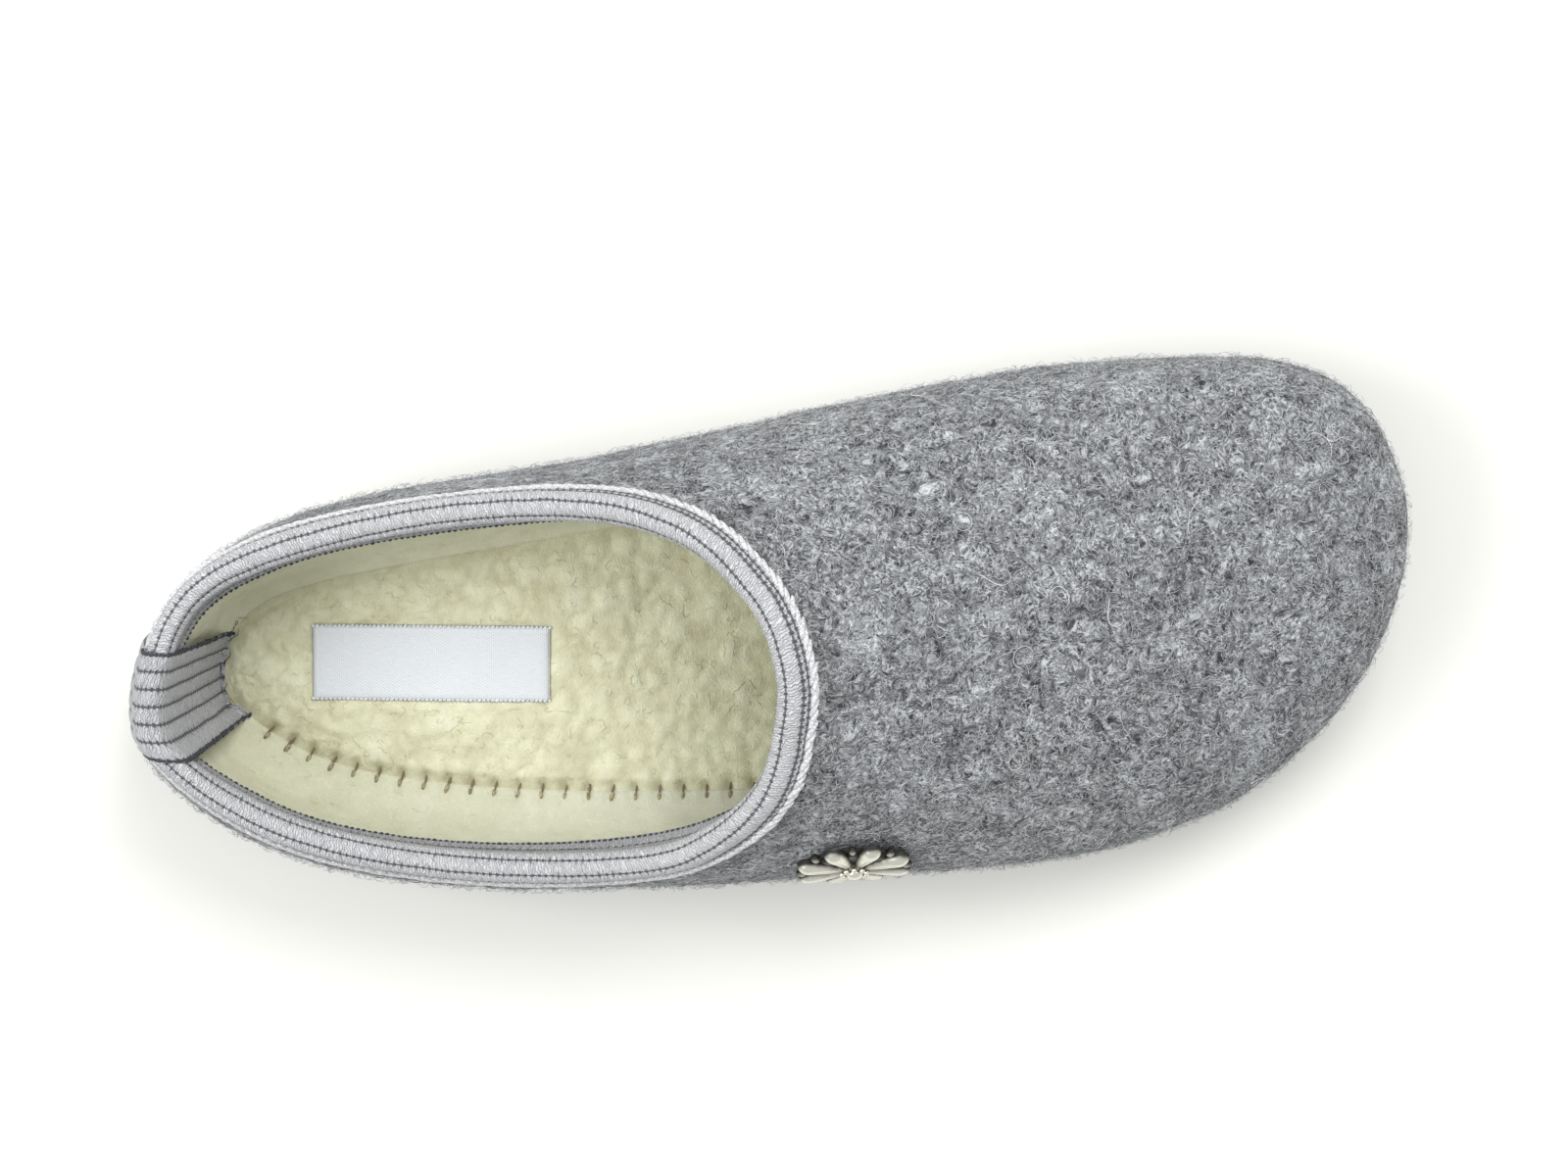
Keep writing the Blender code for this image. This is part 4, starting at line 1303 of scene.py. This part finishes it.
def make_seam(fleece):
    """Stitches that join insole and lining, sunk in the fleece."""
    spots, across = stitch_ways()
    facing = np.broadcast_to(UP, spots.shape)
    thread = thread_finish("seam_thread", fleece.thread, fleece.thread_dark)
    # The slits are dark blobs of painted shadow, sunk where the thread goes into the fleece
    dark = thread_finish("seam_shadow", fleece.thread_dark, fleece.thread_dark)
    slit = blob("seam_slit", (0.25 * MM, 1.1 * MM, 0.3 * MM), STITCH_LEAN, 10, 8)
    tan = blob("seam_loop", (0.4 * MM, 1.0 * MM, 0.45 * MM), STITCH_LEAN, 10, 8)
    count = len(spots)
    low = UP * 0.25 * MM
    slits = repeat("seam_slits", spots - across * 1.1 * MM - low, facing, False, slit, dark,
                   1, 0.15, 0.25, 4, count)
    loops = repeat("seam_loops", spots + across * 0.35 * MM, facing, False, tan, thread,
                   1, 0.15, 0.25, 4, count)
    on_slipper(slits, "insole")
    on_slipper(loops, "insole")


def make_label(trim):
    """Blank woven label, a little bent by the fleece under it."""
    along = LABEL_LENGTH * np.linspace(-0.5, 0.5, 61)[:, None]
    side = LABEL_WIDTH * np.linspace(-0.5, 0.5, 25)[None]
    along, side = np.broadcast_arrays(along, side)
    cos, sin = math.cos(LABEL_TURN), math.sin(LABEL_TURN)
    centre = plan(LABEL_ALONG, LABEL_SIDE)
    x = centre[0] + along * cos - side * sin
    y = centre[1] + along * sin + side * cos
    base = np.stack((x, y, insole_top(x) + GAP), -1)
    out = np.maximum(np.abs(along) / LABEL_LENGTH, np.abs(side) / LABEL_WIDTH) * 2
    wave = roughness_at(base, 14 * MM, 8.0, 2) * 0.25 * MM + 0.25 * MM
    round_edge = 1 - np.clip((out - 0.94) / 0.06, 0, 1) ** 2 * 0.5
    top = base + UP * (LABEL_THICKNESS * round_edge + wave)[..., None]
    low = base + UP * wave[..., None]
    uv = np.stack((along, side), -1)
    piece = shell("blank_label", top, low, False, satin_finish(trim), uv)
    on_slipper(piece, "label", "label")
    thread = thread_finish("label_thread", trim.satin, tuple(0.7 * c for c in trim.satin))
    edges = []
    for k, rows in enumerate((top[:, 0], top[:, -1])):
        bead = blob(f"label_bead{k}", (0.46 * MM, 0.36 * MM, 0.2 * MM), 0.5, 8, 5)
        edges.append(repeat(f"label_edge_{k}", rows + UP * 0.02 * MM,
                            np.broadcast_to(UP, rows.shape), False, bead, thread,
                            0.9 * MM, 0.2, 0.15, 5 + k))
    for edge in edges:
        on_slipper(edge, "label")


def badge_place():
    """Place, centre, normal, level and upward directions of the badge on the felt."""
    places = np.linspace(ROWS * 0.1, ROWS * 0.45, 800)
    points = upper_wall(places, np.full(800, BADGE_RISE))
    place = np.interp((BADGE_ALONG - 0.5) * SHOE_LENGTH, points[:, 0], places)
    centre = upper_wall(place, BADGE_RISE)
    normal = felt_normal(place, np.array(BADGE_RISE))
    level = unit(np.cross(UP, normal))
    return place, centre, normal, level, np.cross(normal, level)


def petal(name, start, end, width, height):
    """Domed finger of metal along +Y with a blunt round tip, from start to end."""
    t = np.linspace(0, 1, 17)[:, None]
    s = np.linspace(-1, 1, 15)[None]
    tip = np.sqrt(np.clip(1 - np.clip((t - 0.7) / 0.3, 0, 1) ** 2, 0.0004, 1))
    profile = (0.42 + 0.58 * np.sin(np.pi / 2 * np.clip(t / 0.75, 0, 1))) * tip
    x = width / 2 * profile * s
    y = start + (end - start) * t + 0 * s
    dome = np.sqrt(np.clip(1 - s**2, 0, 1)) * tip
    crease = 0.3 * np.exp(-(s / 0.12) ** 2) * np.clip(1 - t * 1.2, 0, 1)
    z = height * (0.55 + 0.45 * t) * dome * (1 - crease) + 0.01 * MM
    top = np.stack((x, y, z), -1)
    bottom = top * (1, 1, 0)
    return shell(name, top, bottom, False, None)


def make_badge(trim):
    """Cast flower: domed petals and beads over a blackened plate, bent to the felt."""
    metal = metal_finish(trim)
    place, centre, normal, level, upward = badge_place()
    radius = BADGE_DIAMETER / 2
    step = math.pi / BADGE_PETALS
    between = [(2 * i + 1) * step for i in range(BADGE_PETALS)]
    at = [2 * i * step for i in range(BADGE_PETALS)]
    round_middle = [2 * math.pi * i / 9 for i in range(9)]
    bead = (0.85 * MM, 1.15 * MM, 0.95 * MM)
    seed = (0.62 * MM,) * 3
    parts = (
        (petal("finger", 2.4 * MM, radius * 0.95, 4.5 * MM, 2.7 * MM), (0, 0.15 * MM), between),
        (petal("leaf", 2.0 * MM, radius * 0.7, 3.2 * MM, 1.2 * MM), (0, 0.1 * MM), at),
        (blob("badge_bead", bead, 0, 14, 10), (radius * 0.82, 0.55 * MM), at),
        (blob("badge_seed", seed, 0, 12, 8), (2.5 * MM, 2 * MM), round_middle),
        (blob("badge_heart", (1.7 * MM, 1.7 * MM, 1.1 * MM), 0, 20, 12), (0, 2 * MM), [0]),
        (blob("badge_plate", (radius * 0.84, radius * 0.84, 0.5 * MM), 0, 64, 8), (0, 0), [0]),
        (blob("badge_hub", (3.6 * MM, 3.6 * MM, 1.9 * MM), 0, 24, 10), (0, 0), [0]))
    build = bmesh.new()
    for shape, (out, rise), angles in parts:
        shape.data.transform(Matrix.Translation((0, out, rise)))
        for angle in angles:
            before = set(build.verts)
            build.from_mesh(shape.data)
            new = [vert for vert in build.verts if vert not in before]
            bmesh.ops.rotate(build, verts=new, matrix=Matrix.Rotation(angle, 3, "Z"))
        bpy.data.objects.remove(shape)
    mesh = bpy.data.meshes.new("flower_badge")
    build.to_mesh(mesh)
    build.free()
    count = len(mesh.vertices)
    local = np.empty(count * 3)
    mesh.vertices.foreach_get("co", local)
    local = local.reshape(-1, 3)
    wall = upper_wall(place, np.linspace(0, 1, 80)) - centre
    local[:, 1] += BADGE_LIFT
    lowered = 1 - 0.6 * np.clip(-local[:, 1] / (7 * MM), 0, 1)
    out = BADGE_SEAT + local[:, 2] * lowered
    out += np.interp(local[:, 1], wall @ upward, wall @ normal)
    world = centre + level * local[:, :1] + upward * local[:, 1:2] + normal * out[:, None]
    mesh.vertices.foreach_set("co", world.astype(np.float32).ravel())
    attribute = mesh.attributes.new("height", "FLOAT", "POINT")
    heights = np.clip((local[:, 2] - 0.3 * MM) / (2.1 * MM), 0, 1)
    attribute.data.foreach_set("value", heights.astype(np.float32))
    mesh.update()
    piece = new_piece("flower_badge", mesh, metal)
    on_slipper(piece, "badge", "badge")


def make_stage(stage):
    """Pale floor, a large light from the inner side, a fill from the heel and the camera."""
    mesh = bpy.data.meshes.new("floor")
    signs = ((-1, -1), (1, -1), (1, 1), (-1, 1))
    corners = [(x * FLOOR_HALF, y * FLOOR_HALF, 0) for x, y in signs]
    mesh.from_pydata(corners, [], [(0, 1, 2, 3)])
    floor = new_piece("floor", mesh, floor_finish(stage))
    world = bpy.data.worlds.new("studio")
    world.use_nodes = True
    background = world.node_tree.nodes["Background"]
    background.inputs["Color"].default_value = rgba(stage.sky)
    background.inputs["Strength"].default_value = stage.sky_strength
    bpy.context.scene.world = world
    lights = (("key", (0.45, 0.72, 1.1), 0.7, stage.key_power),
              ("fill", (-0.9, 0.1, 0.9), 0.8, stage.fill_power))
    for name, spot, size, power in lights:
        light = bpy.data.lights.new(name, "AREA")
        light.size = size
        light.energy = power
        lamp = bpy.data.objects.new(name, light)
        lamp.location = spot
        lamp.rotation_euler = (-Vector(spot)).to_track_quat("-Z", "Y").to_euler()
        bpy.context.scene.collection.objects.link(lamp)

    back = Vector((math.sin(CAMERA_LEAN), math.sin(CAMERA_TILT), math.cos(CAMERA_TILT)))
    back.normalize()
    across = Vector((1, 0, 0))
    across = (across - back * across.dot(back)).normalized()
    onward = back.cross(across)
    right = across * math.cos(CAMERA_ROLL) - onward * math.sin(CAMERA_ROLL)
    over = across * math.sin(CAMERA_ROLL) + onward * math.cos(CAMERA_ROLL)
    camera_data = bpy.data.cameras.new("camera")
    camera_data.sensor_width = CAMERA_SENSOR
    camera_data.lens = CAMERA_LENS
    camera = bpy.data.objects.new("camera", camera_data)
    turn = Matrix((right, over, back)).transposed().to_4x4()
    camera.matrix_world = Matrix.Translation(CAMERA_PLACE) @ turn
    bpy.context.scene.collection.objects.link(camera)
    bpy.context.scene.camera = camera
    bpy.context.scene.view_settings.view_transform = "Standard"


# Settings

def colour_property(name, text, default):
    return FloatVectorProperty(name=name, description=text, default=default, size=3,
                               subtype="COLOR", min=0, max=1)


def length_property(name, text, default):
    return FloatProperty(name=name, description=text, default=default, unit="LENGTH",
                         subtype="DISTANCE", min=0, precision=5)


class SlipperFelt(bpy.types.PropertyGroup):
    """Felt upper and its fibres."""

    wobble: length_property("Wobble", "Height of the felt's soft unevenness", 0.35 * MM)
    fibre_length: length_property("Fibre length", "Length of a fibre on the felt", 3.6 * MM)
    fibre_radius: length_property("Fibre radius", "Half the thickness of a fibre", 0.055 * MM)
    fibre_density: FloatProperty(name="Fibre density", default=190000, min=0,
                                 description="Fibres on a square metre of felt")
    fuzz_density: FloatProperty(name="Fuzz density", default=420000, min=0,
                                description="Loose fibres on a square metre near the sole")
    dark: colour_property("Dark wool", "Deepest grey of the felt", (0.024, 0.025, 0.029))
    middle: colour_property("Grey wool", "Main grey of the felt", (0.120, 0.124, 0.132))
    light: colour_property("Pale wool", "Palest grey of the felt", (0.27, 0.28, 0.295))
    fibre: colour_property("Fibres", "Single pale fibres", (0.64, 0.66, 0.68))


class SlipperTape(bpy.types.PropertyGroup):
    """Ribbed tapes at the collar and the heel."""

    lines: FloatVectorProperty(
        name="Lines", description="Millimetres from the outer edge to each dark line",
        default=(1.9, 3.1, 7.0, 10.6, 18.2), size=5)
    rib_depth: length_property("Rib depth", "Depth of the dips at the lines", 0.3 * MM)
    light: colour_property("Tape", "Light threads", (0.70, 0.71, 0.73))
    shadow: colour_property("Tape, dark", "Shaded threads", (0.28, 0.285, 0.305))
    cord: colour_property("Cord", "Twisted cord at the tape's edge", (0.66, 0.665, 0.68))
    frayed: colour_property("Frayed ends", "Tan threads at the heel", (0.42, 0.38, 0.25))
    line: colour_property("Lines' colour", "Dark lines of the tape", (0.05, 0.052, 0.065))
    thread: colour_property("Overlock", "Overlock thread", (0.045, 0.047, 0.056))


class SlipperFleece(bpy.types.PropertyGroup):
    """Fleece insole and lining."""

    clump_size: length_property("Clump size", "Width of a clump of wool", 5.5 * MM)
    clump_height: length_property("Clump height", "Height of a clump of wool", 0.75 * MM)
    pile_radius: length_property("Pile radius", "Half the thickness of a curl", 0.05 * MM)
    pile_density: FloatProperty(name="Pile density", default=110000, min=0,
                                description="Curls on a square metre of fleece")
    # The first of these colours is painted shade between the clumps; the pale one also paints
    # light on their tops
    deep: colour_property("Deep wool", "Wool between the clumps", (0.43, 0.395, 0.245))
    middle: colour_property("Fleece", "Main colour of the fleece", (0.60, 0.595, 0.42))
    light: colour_property("Pale fleece", "Tops of the clumps", (0.72, 0.72, 0.56))
    # This colour is the walls' less yellow fleece, and darker than their fleece as painted shade
    # for the brightly lit outer wall
    faded: colour_property("Lining", "Paler fleece of the walls", (0.54, 0.545, 0.46))
    thread: colour_property("Seam thread", "Thread of the seam", (0.42, 0.38, 0.24))
    thread_dark: colour_property("Seam thread, dark", "Its shaded side", (0.17, 0.15, 0.09))


class SlipperTrim(bpy.types.PropertyGroup):
    """Label and badge."""

    satin: colour_property("Satin", "Woven label", (0.67, 0.70, 0.74))
    metal: colour_property("Silver", "Bright metal of the badge", (0.70, 0.69, 0.61))
    tarnish: colour_property("Tarnish", "Blackened recesses", (0.02, 0.019, 0.017))


class SlipperSole(bpy.types.PropertyGroup):
    """Rubber sole."""

    rubber: colour_property("Rubber", "Main colour of the sole", (0.060, 0.052, 0.046))
    scuffed: colour_property("Scuffed rubber", "Paler clouds", (0.085, 0.076, 0.068))
    speck: colour_property("Specks", "Pale specks in the rubber", (0.16, 0.145, 0.13))


class SlipperStage(bpy.types.PropertyGroup):
    """Floor and light."""

    floor: colour_property("Floor", "Colour of the floor", (0.78, 0.78, 0.75))
    sky: colour_property("Sky", "Colour of the light from all round", (1.0, 1.0, 0.99))
    sky_strength: FloatProperty(name="Sky strength", default=0.78, min=0,
                                description="Strength of the light from all round")
    key_power: FloatProperty(name="Key light", default=12.5, min=0, unit="POWER",
                             description="Power of the light from the inner side")
    fill_power: FloatProperty(name="Fill light", default=10, min=0, unit="POWER",
                              description="Power of the light from the heel")


# Operators

class SLIPPER_OT_felt(bpy.types.Operator):
    """Build the felt upper with its fibres"""

    bl_idname = "slipper.felt"
    bl_label = "Felt Upper"

    def execute(self, context):
        make_felt(context.scene.slipper_felt)
        return {"FINISHED"}


class SLIPPER_OT_collar_tape(bpy.types.Operator):
    """Build the ribbed tape over the collar with its cord and stitches"""

    bl_idname = "slipper.collar_tape"
    bl_label = "Collar Tape"

    def execute(self, context):
        make_collar_tape(context.scene.slipper_tape)
        return {"FINISHED"}


class SLIPPER_OT_heel_tape(bpy.types.Operator):
    """Build the tape that runs up the heel and down inside"""

    bl_idname = "slipper.heel_tape"
    bl_label = "Heel Tape"

    def execute(self, context):
        make_heel_tape(context.scene.slipper_tape)
        return {"FINISHED"}


class SLIPPER_OT_fleece(bpy.types.Operator):
    """Build the fleece insole, the lining of the walls and their seam"""

    bl_idname = "slipper.fleece"
    bl_label = "Fleece"

    def execute(self, context):
        fleece = context.scene.slipper_fleece
        lining = make_lining(fleece)
        insole = make_insole(fleece)
        make_pile(fleece, insole, lining)
        make_seam(fleece)
        return {"FINISHED"}


class SLIPPER_OT_label(bpy.types.Operator):
    """Build the blank woven label"""

    bl_idname = "slipper.label"
    bl_label = "Label"

    def execute(self, context):
        make_label(context.scene.slipper_trim)
        return {"FINISHED"}


class SLIPPER_OT_badge(bpy.types.Operator):
    """Build the cast flower on the outer side"""

    bl_idname = "slipper.badge"
    bl_label = "Flower Badge"

    def execute(self, context):
        make_badge(context.scene.slipper_trim)
        return {"FINISHED"}


class SLIPPER_OT_sole(bpy.types.Operator):
    """Give the sole its rubber"""

    bl_idname = "slipper.sole"
    bl_label = "Sole"

    def execute(self, context):
        rubber = rubber_finish(context.scene.slipper_sole)
        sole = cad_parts["outsole"]
        for slot in sole.material_slots:
            slot.material = rubber
        return {"FINISHED"}


class SLIPPER_OT_stage(bpy.types.Operator):
    """Build the floor, the lights and the camera"""

    bl_idname = "slipper.stage"
    bl_label = "Stage"

    def execute(self, context):
        make_stage(context.scene.slipper_stage)
        return {"FINISHED"}


OPERATORS = (SLIPPER_OT_felt, SLIPPER_OT_collar_tape, SLIPPER_OT_heel_tape,
             SLIPPER_OT_fleece, SLIPPER_OT_label, SLIPPER_OT_badge, SLIPPER_OT_sole,
             SLIPPER_OT_stage)
SETTINGS = (("slipper_felt", SlipperFelt), ("slipper_tape", SlipperTape),
            ("slipper_fleece", SlipperFleece), ("slipper_trim", SlipperTrim),
            ("slipper_sole", SlipperSole), ("slipper_stage", SlipperStage))


class SLIPPER_PT_pieces(bpy.types.Panel):
    """Settings and builders of the slipper's pieces"""

    bl_idname = "SLIPPER_PT_pieces"
    bl_label = "Felt House Slipper"
    bl_space_type = "VIEW_3D"
    bl_region_type = "UI"
    bl_category = "Slipper"

    def draw(self, context):
        for operator in OPERATORS:
            self.layout.operator(operator.bl_idname)
        for name, kind in SETTINGS:
            box = self.layout.box()
            group = getattr(context.scene, name)
            for key in kind.__annotations__:
                box.prop(group, key)


def register():
    for name, kind in SETTINGS:
        bpy.utils.register_class(kind)
        setattr(bpy.types.Scene, name, PointerProperty(type=kind))
    for kind in (*OPERATORS, SLIPPER_PT_pieces):
        bpy.utils.register_class(kind)


def unregister():
    for kind in (SLIPPER_PT_pieces, *reversed(OPERATORS)):
        bpy.utils.unregister_class(kind)
    for name, kind in reversed(SETTINGS):
        delattr(bpy.types.Scene, name)
        bpy.utils.unregister_class(kind)


def main():
    register()
    for operator in OPERATORS:
        module, name = operator.bl_idname.split(".")
        getattr(getattr(bpy.ops, module), name)()


if __name__ == "__main__":
    main()
